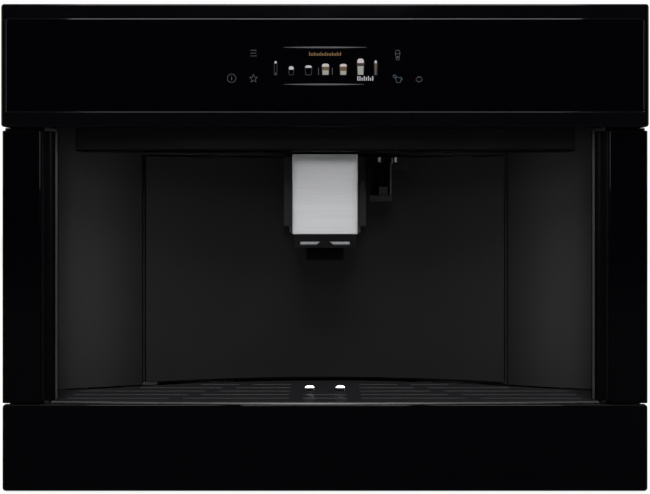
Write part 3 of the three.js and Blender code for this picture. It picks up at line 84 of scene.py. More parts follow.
class Slot(Enum):
    """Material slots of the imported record."""

    BLACK_GLASS = "black_glass"
    GLOSS_BLACK = "gloss_black"
    SATIN_BLACK = "satin_black"
    MAT_BLACK = "mat_black"
    BRUSHED_STEEL = "brushed_steel"
    ZINC_SHEET = "zinc_sheet"
    POLISHED_STEEL = "polished_steel"
    CLEAR_PLASTIC = "clear_plastic"
    WHITE_LIGHT = "white_light"
    GREY_PLASTIC = "grey_plastic"
    CIRCUIT_BOARD = "circuit_board"
    CAST_ALUMINIUM = "cast_aluminium"
    DISPLAY_GLASS = "display_glass"


class Side(Enum):
    """The two sides of the machine, as the viewer sees them."""

    LEFT = "left"
    RIGHT = "right"

    @property
    def sign(self) -> int:
        """The sign of X on this side."""
        return -1 if self is Side.LEFT else 1


class Effect(Enum):
    """Surface effects that several finishes share."""

    GRAIN = "moulded grain"
    CLOUD = "cloudy variation"
    BRUSHING = "brushed streaks"
    SPANGLE = "zinc spangle"
    EDGE = "worn edges"
    DUST = "settled dust"
    PIXELS = "display pixels"


# ------------------------------------------------------------------------------------ wiring


class Wiring:
    """Adds nodes to one node tree and joins them."""

    def __init__(self, tree: bpy.types.NodeTree) -> None:
        """Keeps the tree of a material, a world or a group, which the nodes go into."""
        self.tree = tree

    def node(self, kind: str, **settings: Any) -> bpy.types.Node:
        """Adds one node.

        Args:
            kind: The node's type name.
            settings: Properties that are set on the new node.

        Returns:
            The new node.
        """
        made = self.tree.nodes.new(kind)
        for name, value in settings.items():
            setattr(made, name, value)
        return made

    def feed(self, target: Socket, value: Any) -> None:
        """Links a socket to the target, or writes a plain value on it.

        Args:
            target: The input socket.
            value: An output socket, or a value that the socket takes.
        """
        if isinstance(value, bpy.types.NodeSocket):
            self.tree.links.new(value, target)
        else:
            target.default_value = value

    def maths(self, operation: str, first: Any, second: Any = 0.0, clamp: bool = False) -> Socket:
        """Adds a Math node.

        Args:
            operation: The node's operation.
            first: The first value or socket.
            second: The second value or socket.
            clamp: Whether the result is kept between 0 and 1.

        Returns:
            The result's socket.
        """
        made = self.node("ShaderNodeMath", operation=operation, use_clamp=clamp)
        self.feed(made.inputs[0], first)
        self.feed(made.inputs[1], second)
        return made.outputs[0]

    def spread(
        self, value: Any, low: float, high: float, start: Any = 0.0, end: Any = 1.0
    ) -> Socket:
        """Maps a range of values smoothly onto another.

        Args:
            value: The value or socket that is mapped.
            low: Lower end of the range that comes in.
            high: Upper end of the range that comes in.
            start: Result at the lower end.
            end: Result at the upper end.

        Returns:
            The result's socket.
        """
        made = self.node("ShaderNodeMapRange", interpolation_type="SMOOTHSTEP")
        for name, given in zip(
            ("Value", "From Min", "From Max", "To Min", "To Max"), (value, low, high, start, end)
        ):
            self.feed(made.inputs[name], given)
        return made.outputs["Result"]

    def blend(self, share: Any, first: Any, second: Any) -> Socket:
        """Mixes two colours.

        Args:
            share: How much of the second colour shows.
            first: The first colour or socket.
            second: The second colour or socket.

        Returns:
            The mixed colour's socket.
        """
        made = self.node("ShaderNodeMix", data_type="RGBA")
        self.feed(made.inputs["Factor"], share)
        self.feed(made.inputs[6], first)
        self.feed(made.inputs[7], second)
        return made.outputs[2]

    def texture(self, kind: str, place: Socket, scale: Any, **inputs: Any) -> bpy.types.Node:
        """Adds a procedural texture.

        Args:
            kind: Its kind, Noise or Voronoi.
            place: Where a point lies on the piece.
            scale: How fine it is.
            inputs: Its other inputs, by name.

        Returns:
            The new node.
        """
        made = self.node(f"ShaderNodeTex{kind}")
        for name, value in {"Vector": place, "Scale": scale, **inputs}.items():
            self.feed(made.inputs[name], value)
        return made

    def parts(self, vector: Socket) -> Any:
        """Parts a vector, and gives its three numbers as sockets named X, Y and Z."""
        made = self.node("ShaderNodeSeparateXYZ")
        self.feed(made.inputs[0], vector)
        return made.outputs


class EffectGroup:
    """The node group of one shared effect."""

    def __init__(self, effect: Effect) -> None:
        """Builds the group.

        Args:
            effect: The effect that is built.
        """
        self.tree = bpy.data.node_groups.new(effect.value, "ShaderNodeTree")
        self.wiring = Wiring(self.tree)
        makers = {
            Effect.GRAIN: self._grain,
            Effect.CLOUD: self._cloud,
            Effect.BRUSHING: self._brushing,
            Effect.SPANGLE: self._spangle,
            Effect.EDGE: self._edge,
            Effect.DUST: self._dust,
            Effect.PIXELS: self._pixels,
        }
        makers[effect]()

    def _sockets(self, gives: Sequence[str], **numbers: float) -> tuple[Any, Any]:
        """Gives the group its inputs and outputs. The first input is a vector, the place.

        Args:
            gives: The names of the outputs, which are numbers.
            numbers: The other inputs, which are numbers, with their defaults.

        Returns:
            The inputs and outputs of the group, by name.
        """
        face = self.tree.interface
        face.new_socket(name="Vector", in_out="INPUT", socket_type="NodeSocketVector")
        for name, default in numbers.items():
            made = face.new_socket(name=name, in_out="INPUT", socket_type="NodeSocketFloat")
            made.default_value = default
        for name in gives:
            face.new_socket(name=name, in_out="OUTPUT", socket_type="NodeSocketFloat")
        takes = self.wiring.node("NodeGroupInput").outputs
        return takes, self.wiring.node("NodeGroupOutput").inputs

    def _grain(self) -> None:
        """Fine eroded texture of a moulded face, as a height and a mask."""
        wiring = self.wiring
        takes, gives = self._sockets(("Height", "Mask"), Scale=1800.0)
        pits = wiring.texture("Voronoi", takes["Vector"], takes["Scale"])
        pits.feature = "SMOOTH_F1"
        dust = wiring.texture("Noise", takes["Vector"], takes["Scale"], Detail=3.0)
        height = wiring.maths("MULTIPLY", pits.outputs["Distance"], dust.outputs["Fac"])
        wiring.feed(gives["Height"], height)
        wiring.feed(gives["Mask"], wiring.spread(height, 0.05, 0.4))

    def _cloud(self) -> None:
        """Slow, cloudy variation between two values."""
        wiring = self.wiring
        takes, gives = self._sockets(("Value",), Scale=14.0, Low=0.0, High=1.0)
        noise = wiring.texture(
            "Noise", takes["Vector"], takes["Scale"], Detail=5.0, Distortion=0.7
        )
        wandering = wiring.spread(noise.outputs["Fac"], 0.32, 0.68, takes["Low"], takes["High"])
        wiring.feed(gives["Value"], wandering)

    def _brushing(self) -> None:
        """Fine streaks along X, as a value between two ends and a height."""
        wiring = self.wiring
        takes, gives = self._sockets(
            ("Value", "Height"), Along=22.0, Across=4200.0, Low=0.0, High=1.0
        )
        stretch = wiring.node("ShaderNodeCombineXYZ")
        for name, value in (("X", "Along"), ("Y", "Across"), ("Z", "Across")):
            wiring.feed(stretch.inputs[name], takes[value])
        pulled = wiring.node("ShaderNodeVectorMath", operation="MULTIPLY")
        wiring.feed(pulled.inputs[0], takes["Vector"])
        wiring.feed(pulled.inputs[1], stretch.outputs[0])
        noise = wiring.texture("Noise", pulled.outputs[0], 1.0, Detail=6.0, Roughness=0.72)
        streak = noise.outputs["Fac"]
        wiring.feed(gives["Height"], streak)
        wiring.feed(gives["Value"], wiring.spread(streak, 0.3, 0.7, takes["Low"], takes["High"]))

    def _spangle(self) -> None:
        """Crystals of a zinc coat: each has a tone of its own."""
        wiring = self.wiring
        takes, gives = self._sockets(("Value",), Scale=95.0, Low=0.0, High=1.0)
        shift = wiring.texture("Noise", takes["Vector"], 160.0)
        bent = wiring.node("ShaderNodeVectorMath", operation="MULTIPLY_ADD")
        bent.inputs[1].default_value = (0.008, 0.008, 0.008)
        wiring.feed(bent.inputs[0], shift.outputs["Color"])
        wiring.feed(bent.inputs[2], takes["Vector"])
        cells = wiring.texture("Voronoi", bent.outputs[0], takes["Scale"])
        tones = wiring.node("ShaderNodeSeparateColor")
        wiring.feed(tones.inputs[0], cells.outputs["Color"])
        tone = wiring.spread(tones.outputs[0], 0.0, 1.0, takes["Low"], takes["High"])
        wiring.feed(gives["Value"], tone)

    def _edge(self) -> None:
        """Mask of the edges that hands and tools have rubbed."""
        wiring = self.wiring
        takes, gives = self._sockets(("Mask",), Radius=0.0008)
        rounded = wiring.node("ShaderNodeBevel", samples=4)
        wiring.feed(rounded.inputs["Radius"], takes["Radius"])
        meeting = wiring.node("ShaderNodeVectorMath", operation="DOT_PRODUCT")
        wiring.feed(meeting.inputs[0], rounded.outputs[0])
        wiring.feed(meeting.inputs[1], wiring.node("ShaderNodeNewGeometry").outputs["Normal"])
        edge = wiring.spread(meeting.outputs["Value"], 0.995, 0.9)
        patches = wiring.texture("Noise", takes["Vector"], 240.0)
        rubbed = wiring.spread(patches.outputs["Fac"], 0.38, 0.62, 0.35, 1.0)
        wiring.feed(gives["Mask"], wiring.maths("MULTIPLY", edge, rubbed, clamp=True))

    def _dust(self) -> None:
        """Mask of the dust that lies on faces which look up."""
        wiring = self.wiring
        takes, gives = self._sockets(("Mask",), Amount=0.2)
        normal = wiring.parts(wiring.node("ShaderNodeNewGeometry").outputs["Normal"])
        upward = wiring.spread(normal["Z"], 0.6, 1.0)
        drift = wiring.texture("Noise", takes["Vector"], 38.0, Detail=6.0)
        patch = wiring.spread(drift.outputs["Fac"], 0.35, 0.7, 0.2, 1.0)
        lying = wiring.maths("MULTIPLY", upward, patch)
        wiring.feed(gives["Mask"], wiring.maths("MULTIPLY", lying, takes["Amount"], clamp=True))

    def _pixels(self) -> None:
        """Fine grid of a lit display, as a value just under 1."""
        wiring = self.wiring
        takes, gives = self._sockets(("Value",), Pitch=0.00025)
        place = wiring.parts(takes["Vector"])
        lit = []
        for axis in ("X", "Z"):
            within = wiring.maths("FRACT", wiring.maths("DIVIDE", place[axis], takes["Pitch"]))
            lit.append(wiring.spread(within, 0.0, 0.25, 0.72, 1.0))
        wiring.feed(gives["Value"], wiring.maths("MULTIPLY", lit[0], lit[1]))


class EffectShelf:
    """Holds each shared effect, built the first time that a material asks for it."""

    def __init__(self) -> None:
        """Starts with an empty shelf."""
        self.groups: dict[Effect, EffectGroup] = {}

    def place(self, wiring: Wiring, effect: Effect, **values: Any) -> bpy.types.Node:
        """Places an effect in a material.

        Args:
            wiring: The wiring of the material.
            effect: The effect that is placed.
            values: A value or socket for each named input.

        Returns:
            The group node, whose outputs carry the effect.
        """
        if effect not in self.groups:
            self.groups[effect] = EffectGroup(effect)
        made = wiring.node("ShaderNodeGroup", node_tree=self.groups[effect].tree, label=effect.value)
        for name, value in values.items():
            wiring.feed(made.inputs[name], value)
        return made


# ---------------------------------------------------------------------------------- finishes


@dataclass(frozen=True)
class Coat:
    """A material on which a finish is laid."""

    wiring: Wiring
    inputs: Any
    place: Socket
    shelf: EffectShelf

    def effect(self, effect: Effect, **values: Any) -> Any:
        """Places a shared effect with its named inputs, and gives its outputs by name."""
        return self.shelf.place(self.wiring, effect, Vector=self.place, **values).outputs

    def give(self, name: str, value: Any) -> None:
        """Gives an input of the shader a socket or a plain value."""
        self.wiring.feed(self.inputs[name], value)

    def bump(self, height: Socket, depth: float, share: float) -> None:
        """Lets a height push the surface in and out.

        Args:
            height: The height between 0 and 1.
            depth: The depth of the relief in metres.
            share: How strongly it shows.
        """
        relief = self.wiring.node("ShaderNodeBump")
        for name, value in (("Strength", share), ("Distance", depth), ("Height", height)):
            self.wiring.feed(relief.inputs[name], value)
        self.give("Normal", relief.outputs["Normal"])


@dataclass(frozen=True)
class Finish:
    """What every finish has: a name, a colour and a range of roughness."""

    name: str
    colour: Colour
    smooth: float
    rough: float

    def material(self, shelf: EffectShelf) -> bpy.types.Material:
        """Builds the material.

        Args:
            shelf: Where the shared effects come from.

        Returns:
            The new material.
        """
        made = bpy.data.materials.new(self.name)
        made.use_nodes = True
        made.diffuse_color = self.tone(1.0)
        wiring = Wiring(made.node_tree)
        inputs = made.node_tree.nodes["Principled BSDF"].inputs
        inputs["Base Color"].default_value = self.tone(1.0)
        place = wiring.node("ShaderNodeTexCoord").outputs["Object"]
        self.dress(Coat(wiring, inputs, place, shelf))
        return made

    def dress(self, coat: Coat) -> None:
        """Adds what this finish is made of to the material that it is laid on."""
        raise NotImplementedError

    def tone(self, factor: float) -> tuple[float, float, float, float]:
        """The finish's colour, lighter or darker by a factor."""
        return (*(min(1.0, part * factor) for part in self.colour), 1.0)

    def toned(self, coat: Coat, mask: Socket, low: float, high: float) -> Socket:
        """The finish's colour, between two factors by a mask."""
        return coat.wiring.blend(mask, self.tone(low), self.tone(high))

    def cloudy(self, coat: Coat, scale: float) -> Socket:
        """Roughness that wanders between its two ends, in clouds of a scale."""
        return coat.effect(Effect.CLOUD, Scale=scale, Low=self.smooth, High=self.rough)["Value"]


@dataclass(frozen=True)
class PolishedBlack(Finish):
    """Polished glass or gloss plastic, with faint wipe marks in its shine."""

    wipe: float = 9.0
    shine: float = 0.5
    ripple: float = 0.0

    def dress(self, coat: Coat) -> None:
        """Adds cloudy shine, lighter edges and, where it has one, a faint ripple.

        Args:
            coat: The material that it is laid on.
        """
        coat.give("Roughness", self.cloudy(coat, self.wipe))
        coat.give("Specular IOR Level", self.shine)
        edge = coat.effect(Effect.EDGE, Radius=0.0005)["Mask"]
        coat.give("Base Color", self.toned(coat, edge, 1.0, 1.8))
        if self.ripple > 0:
            coat.bump(coat.effect(Effect.CLOUD, Scale=70.0)["Value"], self.ripple, 0.3)


@dataclass(frozen=True)
class MouldedPlastic(Finish):
    """Moulded plastic with an eroded grain, polished a little along its edges, and, where asked for,
    darker towards the middle as painted shade.
    """

    grain: float = 1800.0
    depth: float = 0.00003
    shine: float = 0.5
    dusty: float = 0.0
    painted_shade: float = 0.0
    painted_shade_from: float = 0.25
    painted_shade_to: float = 0.16
    dust_tone: Colour = (0.3, 0.29, 0.27)

    def dress(self, coat: Coat) -> None:
        """Adds grain, uneven shine, rubbed edges, painted shade that darkens it towards the middle,
        and dust.

        Args:
            coat: The material that it is laid on.
        """
        wiring = coat.wiring
        grain = coat.effect(Effect.GRAIN, Scale=self.grain)
        cloud = self.cloudy(coat, 11.0)
        edge = coat.effect(Effect.EDGE, Radius=0.0007)["Mask"]
        coat.give("Roughness", wiring.maths("SUBTRACT", cloud, wiring.maths("MULTIPLY", edge, 0.12)))
        speckled = self.toned(coat, grain["Mask"], 0.88, 1.1)
        shown = wiring.blend(edge, speckled, self.tone(1.35))
        if self.painted_shade > 0:
            # Painted shade: the colour darkens towards the middle of X, standing in for shade that
            # falls there.
            reach = wiring.maths("ABSOLUTE", wiring.parts(coat.place)["X"])
            unshaded = wiring.spread(reach, self.painted_shade_to, self.painted_shade_from)
            shown = wiring.blend(unshaded, self.tone(1 - self.painted_shade), shown)
        if self.dusty > 0:
            dust = coat.effect(Effect.DUST, Amount=self.dusty)["Mask"]
            shown = wiring.blend(dust, shown, (*self.dust_tone, 1.0))
        coat.give("Base Color", shown)
        coat.give("Specular IOR Level", self.shine)
        coat.bump(grain["Height"], self.depth, 0.5)


@dataclass(frozen=True)
class BrushedMetal(Finish):
    """Steel brushed along X, with stretched highlights."""

    metallic: float = 0.8
    stretch: float = 0.45
    stretch_turn: float = 0.25

    def dress(self, coat: Coat) -> None:
        """Adds streaks in colour, shine and relief, faint clouds and brighter edges.

        Args:
            coat: The material that it is laid on.
        """
        wiring = coat.wiring
        streaks = coat.effect(Effect.BRUSHING, Low=self.smooth, High=self.rough)
        broad = coat.effect(Effect.BRUSHING, Along=9.0, Across=900.0)["Value"]
        cloud = coat.effect(Effect.CLOUD, Scale=26.0, High=0.35)["Value"]
        edge = coat.effect(Effect.EDGE, Radius=0.0006)["Mask"]
        coat.give("Metallic", self.metallic)
        coat.give("Anisotropic", self.stretch)
        coat.give("Anisotropic Rotation", self.stretch_turn)
        coat.give("Roughness", streaks["Value"])
        streaked = self.toned(coat, broad, 0.93, 1.06)
        clouded = wiring.blend(cloud, streaked, self.tone(0.97))
        coat.give("Base Color", wiring.blend(edge, clouded, self.tone(1.2)))
        coat.bump(streaks["Height"], 0.00001, 0.35)


@dataclass(frozen=True)
class ZincSheet(Finish):
    """Zinc-coated sheet, with crystals in the coat and bright cut edges."""

    crystals: float = 130.0
    metallic: float = 0.85
    dust_tone: Colour = (0.42, 0.4, 0.37)

    def dress(self, coat: Coat) -> None:
        """Adds crystals of differing tone, rolling marks, edges and dust.

        Args:
            coat: The material that it is laid on.
        """
        wiring = coat.wiring
        cells = coat.effect(Effect.SPANGLE, Scale=self.crystals)["Value"]
        rolled = coat.effect(Effect.BRUSHING, Along=6.0, Across=700.0)["Value"]
        edge = coat.effect(Effect.EDGE, Radius=0.0009)["Mask"]
        dust = coat.effect(Effect.DUST, Amount=0.22)["Mask"]
        coat.give("Metallic", self.metallic)
        coat.give("Roughness", wiring.spread(cells, 0.0, 1.0, self.smooth, self.rough))
        crystals = self.toned(coat, cells, 0.92, 1.04)
        marked = wiring.blend(wiring.maths("MULTIPLY", rolled, 0.25), crystals, self.tone(0.9))
        worn = wiring.blend(edge, marked, self.tone(1.25))
        coat.give("Base Color", wiring.blend(dust, worn, (*self.dust_tone, 1.0)))
        coat.bump(cells, 0.00002, 0.2)


@dataclass(frozen=True)
class BrightMetal(Finish):
    """Polished or cast metal, with a fine skin and rubbed edges."""

    skin: float = 900.0
    depth: float = 0.000004

    def dress(self, coat: Coat) -> None:
        """Adds uneven shine, a fine skin and brighter edges.

        Args:
            coat: The material that it is laid on.
        """
        cloud = self.cloudy(coat, 60.0)
        grain = coat.effect(Effect.GRAIN, Scale=self.skin)
        edge = coat.effect(Effect.EDGE, Radius=0.0005)["Mask"]
        coat.give("Metallic", 1.0)
        coat.give("Roughness", cloud)
        skin = self.toned(coat, grain["Mask"], 0.92, 1.04)
        coat.give("Base Color", coat.wiring.blend(edge, skin, self.tone(1.15)))
        coat.bump(grain["Height"], self.depth, 0.4)


@dataclass(frozen=True)
class SmokedPlastic(Finish):
    """Smoked clear plastic, scuffed inside by beans and water."""

    clear: float = 0.75
    bending: float = 1.49

    def dress(self, coat: Coat) -> None:
        """Adds transmission, scuffs and a scaly bloom.

        Args:
            coat: The material that it is laid on.
        """
        coat.give("Roughness", self.cloudy(coat, 45.0))
        bloom = coat.effect(Effect.CLOUD, Scale=18.0)["Value"]
        coat.give("Transmission Weight", self.clear)
        coat.give("IOR", self.bending)
        coat.give("Base Color", self.toned(coat, bloom, 0.92, 1.12))


@dataclass(frozen=True)
class Glow(Finish):
    """A lit mark: display pixels, a printed touch symbol or a lamp's lens."""

    light: float = 1.0
    pitch: float = 0.00025
    body: float = 0.1

    def dress(self, coat: Coat) -> None:
        """Adds light that is broken up by a fine grid and soft clouds.

        Args:
            coat: The material that it is laid on.
        """
        grid = coat.effect(Effect.PIXELS, Pitch=self.pitch)["Value"]
        coat.give("Base Color", self.tone(self.body))
        coat.give("Emission Strength", self.light)
        coat.give("Roughness", self.cloudy(coat, 220.0))
        coat.give("Emission Color", coat.wiring.blend(grid, (0.0, 0.0, 0.0, 1.0), self.tone(1.0)))


@dataclass(frozen=True)
class Board(Finish):
    """Solder mask over copper tracks."""

    def dress(self, coat: Coat) -> None:
        """Adds tracks as lighter streaks, and fine grain.

        Args:
            coat: The material that it is laid on.
        """
        wiring = coat.wiring
        tracks = coat.effect(Effect.BRUSHING, Along=60.0, Across=900.0)
        grain = coat.effect(Effect.GRAIN, Scale=700.0)["Mask"]
        track = wiring.spread(tracks["Value"], 0.6, 0.7)
        coat.give("Base Color", self.toned(coat, track, 0.8, 1.5))
        coat.give("Roughness", wiring.spread(grain, 0.0, 1.0, self.smooth, self.rough))
        coat.bump(tracks["Height"], 0.00004, 0.3)


FINISHES: dict[str, Finish] = {
    one.name: one
    for one in (
        PolishedBlack("black glass", (0.0004, 0.0004, 0.0007), 0.02, 0.05, shine=0.25),
        PolishedBlack("gloss black", (0.0009, 0.0009, 0.0012), 0.07, 0.12, shine=0.25, ripple=4e-6),
        PolishedBlack("dark gloss", (0.0024, 0.0024, 0.0029), 0.20, 0.28, shine=0.3, ripple=4e-6),
        PolishedBlack("soft gloss", (0.0024, 0.0025, 0.0029), 0.22, 0.32, shine=0.2, ripple=4e-6),
        # The darkest black, also used as painted shade on the hood's underside and the posts' sides.
        PolishedBlack("deep black and painted shade", (0.0008, 0.0008, 0.0010), 0.24, 0.34, shine=0.04, ripple=4e-6),
        # Painted highlight for the front of the tray's lip.
        PolishedBlack("painted highlight gloss", (0.0200, 0.0200, 0.0210), 0.22, 0.30, shine=0.6),
        MouldedPlastic("satin black", (0.0095, 0.0096, 0.0105), 0.42, 0.52, grain=2600.0),
        # The wing's finish carries painted shade, darker towards the middle.
        MouldedPlastic(
            "satin wing painted shade", (0.0172, 0.0173, 0.0184), 0.46, 0.56, grain=2600.0, shine=0.08, painted_shade=0.78
        ),
        MouldedPlastic("satin door", (0.0075, 0.0075, 0.0079), 0.50, 0.60, grain=2400.0, shine=0.12),
        # Painted light: a lighter copy of satin black for the spout's cheeks, against the hood's
        # shade.
        MouldedPlastic("satin cheek painted light", (0.0480, 0.0485, 0.0520), 0.30, 0.40, grain=2600.0),
        MouldedPlastic("satin deck", (0.0086, 0.0087, 0.0096), 0.36, 0.46, grain=2200.0, shine=0.1),
        # Painted highlight for the slot walls of the grille and the outlet's wall.
        MouldedPlastic("painted highlight satin", (0.0200, 0.0201, 0.0215), 0.40, 0.50, grain=2200.0, shine=0.1),
        # Painted highlight for the bands on the collar's sides.
        MouldedPlastic("pale painted highlight", (0.3600, 0.3600, 0.3650), 0.30, 0.40, grain=2600.0),
        # Painted highlight for the bead along the posts' inner edges.
        MouldedPlastic("painted highlight bead", (0.0150, 0.0151, 0.0164), 0.38, 0.46, grain=2600.0),
        MouldedPlastic("mat black", (0.0060, 0.0060, 0.0066), 0.62, 0.74, depth=0.00005),
        MouldedPlastic("grey plastic", (0.24, 0.25, 0.26), 0.48, 0.62, grain=900.0, dusty=0.15),
        MouldedPlastic("rubber", (0.02, 0.02, 0.021), 0.72, 0.86, grain=700.0, depth=0.00006),
        BrushedMetal("brushed steel", (0.60, 0.605, 0.62), 0.36, 0.46),
        ZincSheet("zinc sheet", (0.52, 0.54, 0.55), 0.34, 0.42),
        ZincSheet("runner steel", (0.56, 0.57, 0.58), 0.26, 0.31, crystals=300.0),
        BrightMetal("polished steel", (0.80, 0.81, 0.82), 0.05, 0.14),
        BrightMetal("bright lip", (0.62, 0.63, 0.64), 0.16, 0.26),
        BrightMetal("cast aluminium", (0.50, 0.52, 0.53), 0.40, 0.55, skin=500.0, depth=0.00004),
        BrightMetal("brass", (0.62, 0.47, 0.22), 0.18, 0.30),
        BrightMetal("screw steel", (0.34, 0.34, 0.35), 0.28, 0.42),
        SmokedPlastic("smoked clear plastic", (0.30, 0.33, 0.35), 0.05, 0.16),
        Board("circuit board", (0.05, 0.16, 0.085), 0.38, 0.55),
        Glow("milky lens", (0.92, 0.96, 1.0), 0.2, 0.35, light=0.09, pitch=0.0006),
        PolishedBlack("display glass", (0.004, 0.004, 0.005), 0.04, 0.09, shine=0.4),
        Glow("display white", (0.42, 0.43, 0.44), 0.1, 0.2),
        Glow("display line", (0.085, 0.085, 0.095), 0.1, 0.2),
        Glow("display amber", (0.22, 0.13, 0.06), 0.1, 0.2),
        Glow("display foam", (0.46, 0.42, 0.42), 0.1, 0.2),
        Glow("display milk", (0.28, 0.29, 0.25), 0.1, 0.2),
        Glow("display coffee", (0.12, 0.078, 0.045), 0.1, 0.2),
        Glow("display dark", (0.045, 0.030, 0.028), 0.1, 0.2),
        Glow("display cup", (0.060, 0.060, 0.068), 0.1, 0.2),
        Glow("touch print", (0.075, 0.076, 0.082), 0.2, 0.3, pitch=0.0004),
        Glow("touch accent", (0.062, 0.100, 0.120), 0.2, 0.3, pitch=0.0004),
    )
}

SLOT_FINISH: dict[Slot, str] = {
    Slot.BLACK_GLASS: "black glass",
    Slot.GLOSS_BLACK: "gloss black",
    Slot.SATIN_BLACK: "satin black",
    Slot.MAT_BLACK: "mat black",
    Slot.BRUSHED_STEEL: "brushed steel",
    Slot.ZINC_SHEET: "zinc sheet",
    Slot.POLISHED_STEEL: "polished steel",
    Slot.CLEAR_PLASTIC: "smoked clear plastic",
    Slot.WHITE_LIGHT: "milky lens",
    Slot.GREY_PLASTIC: "grey plastic",
    Slot.CIRCUIT_BOARD: "circuit board",
    Slot.CAST_ALUMINIUM: "cast aluminium",
    Slot.DISPLAY_GLASS: "display glass",
}


class Palette:
    """Builds each finish's material the first time that a piece asks for it."""

    def __init__(self) -> None:
        """Starts with no materials."""
        self.shelf = EffectShelf()
        self.made: dict[str, bpy.types.Material] = {}

    def material(self, name: str) -> bpy.types.Material:
        """The material of the finish with this name."""
        if name not in self.made:
            self.made[name] = FINISHES[name].material(self.shelf)
        return self.made[name]


# ---------------------------------------------------------------------------------- workshop


class Workshop:
    """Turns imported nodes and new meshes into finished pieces.

    Corners nearer than MERGE millimetres are one, and faces that bend less than LEVEL degrees are
    one. Edges that bend more than SHARP degrees are drawn sharp, and more than ROUNDED are rounded.
    """

    MERGE = 0.002
    LEVEL = 0.5
    SHARP = 28.0
    ROUNDED = 32.0
    FLAT_WEIGHT = 80

    def __init__(self, frame: dict[str, Any]) -> None:
        """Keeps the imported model.

        Args:
            frame: What the frame's loader returned.
        """
        self.nodes = frame["nodes"]
        self.palette = Palette()
        self.slots = {row["node"]: row["material_slot"] for row in frame["record"]["subparts"]}
        self.count = 0

    def paint(self, piece: bpy.types.Object, finish: str) -> None:
        """Gives a piece one finish all over.

        Args:
            piece: The piece.
            finish: The name of the finish.
        """
        material = self.palette.material(finish)
        if not piece.material_slots:
            piece.data.materials.append(material)
        for slot in piece.material_slots:
            slot.material = material

    def paint_where(
        self, piece: bpy.types.Object, finish: str, test: Callable[[Vector, Vector], bool]
    ) -> None:
        """Gives some faces of a piece a second finish.

        Args:
            piece: The piece.
            finish: The name of the second finish.
            test: Says for a face's middle and normal whether it takes the finish.
        """
        piece.data.materials.append(self.palette.material(finish))
        number = len(piece.data.materials) - 1
        for face in piece.data.polygons:
            if test(face.center, face.normal):
                face.material_index = number

    def keep(self, node: str) -> None:
        """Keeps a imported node's own shape and gives it the finish of its slot."""
        self.paint(self.nodes[node], SLOT_FINISH[Slot(self.slots[node])])
        self._report(node, "kept")

    def skin(
        self, node: str, finish: str | None = None, edge: float = 0.35, steps: int = 2,
        reshape: Callable[[bmesh.types.BMesh], None] | None = None,
    ) -> bpy.types.Object:
        """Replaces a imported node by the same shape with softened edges.

        Args:
            node: The node's name.
            finish: The finish, or None for the one of its slot.
            edge: Width of the softened edges in millimetres.
            steps: How many steps each edge is rounded in.
            reshape: What else is done to the mesh before its edges are softened.

        Returns:
            The new piece.
        """
        source = self.nodes[node]
        work = bmesh.new()
        work.from_mesh(source.data)
        bmesh.ops.remove_doubles(work, verts=work.verts, dist=self.MERGE * MM)
        bmesh.ops.dissolve_limit(
            work, angle_limit=math.radians(self.LEVEL), verts=work.verts, edges=work.edges
        )
        if reshape is not None:
            reshape(work)
        bmesh.ops.triangulate(work, faces=[face for face in work.faces if len(face.verts) > 4])
        piece = self._piece(f"{node}_skin", work, finish or SLOT_FINISH[Slot(self.slots[node])])
        self.soften(piece, edge, steps)
        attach(piece, source["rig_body"])
        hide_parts(node)
        self._report(piece.name, "skinned")
        return piece

    def add(
        self, name: str, work: bmesh.types.BMesh, finish: str, body: str, slot: Slot,
        edge: float = 0.0,
    ) -> bpy.types.Object:
        """Makes a new piece that rides on a body.

        Args:
            name: The piece's name.
            work: Its mesh, in metres, which is used up.
            finish: The name of its finish.
            body: The body that it rides on.
            slot: Not used; the finish is given by name.
            edge: Width of its softened edges in millimetres, or 0 for none.

        Returns:
            The new piece.
        """
        piece = self._piece(name, work, finish)
        if edge > 0:
            self.soften(piece, edge, 2)
        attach(piece, body)
        self._report(name, "made")
        return piece

    def soften(self, piece: bpy.types.Object, edge: float, steps: int) -> None:
        """Rounds the sharp edges of a piece.

        Args:
            piece: The piece.
            edge: Width of the rounded edges in millimetres.
            steps: How many steps each edge is rounded in.
        """
        bevel = piece.modifiers.new("softened edges", "BEVEL")
        bevel.width = edge * MM
        bevel.segments = steps
        bevel.limit_method = "ANGLE"
        bevel.angle_limit = math.radians(self.ROUNDED)
        bevel.harden_normals = True
        bevel.use_clamp_overlap = False
        bevel.miter_outer = "MITER_ARC"
        flat = piece.modifiers.new("even shading", "WEIGHTED_NORMAL")
        flat.keep_sharp = True
        flat.weight = self.FLAT_WEIGHT

    def _piece(self, name: str, work: bmesh.types.BMesh, finish: str) -> bpy.types.Object:
        """Makes an object from a mesh in work, smooth except at its sharp edges.

        Args:
            name: The piece's name.
            work: Its mesh, which is used up.
            finish: The name of its finish.

        Returns:
            The new object.
        """
        for face in work.faces:
            face.smooth = True
            face.material_index = 0
        bend = math.radians(self.SHARP)
        for line in work.edges:
            line.smooth = not (len(line.link_faces) == 2 and line.calc_face_angle() > bend)
        mesh = bpy.data.meshes.new(name)
        work.to_mesh(mesh)
        work.free()
        piece = bpy.data.objects.new(name, mesh)
        bpy.context.scene.collection.objects.link(piece)
        self.paint(piece, finish)
        return piece

    def _report(self, name: str, how: str) -> None:
        """Logs one piece."""
        self.count += 1
        LOG.info("%3d %-8s %s", self.count, how, name)


def around(steps: int) -> list[float]:
    """The angles of a round's corners, in radians."""
    return [2 * math.pi * i / steps for i in range(steps)]


def polar(centre: Point, radius: float, angle: float) -> Point:
    """The point at a radius and an angle in radians from a centre."""
    return centre[0] + radius * math.cos(angle), centre[1] + radius * math.sin(angle)


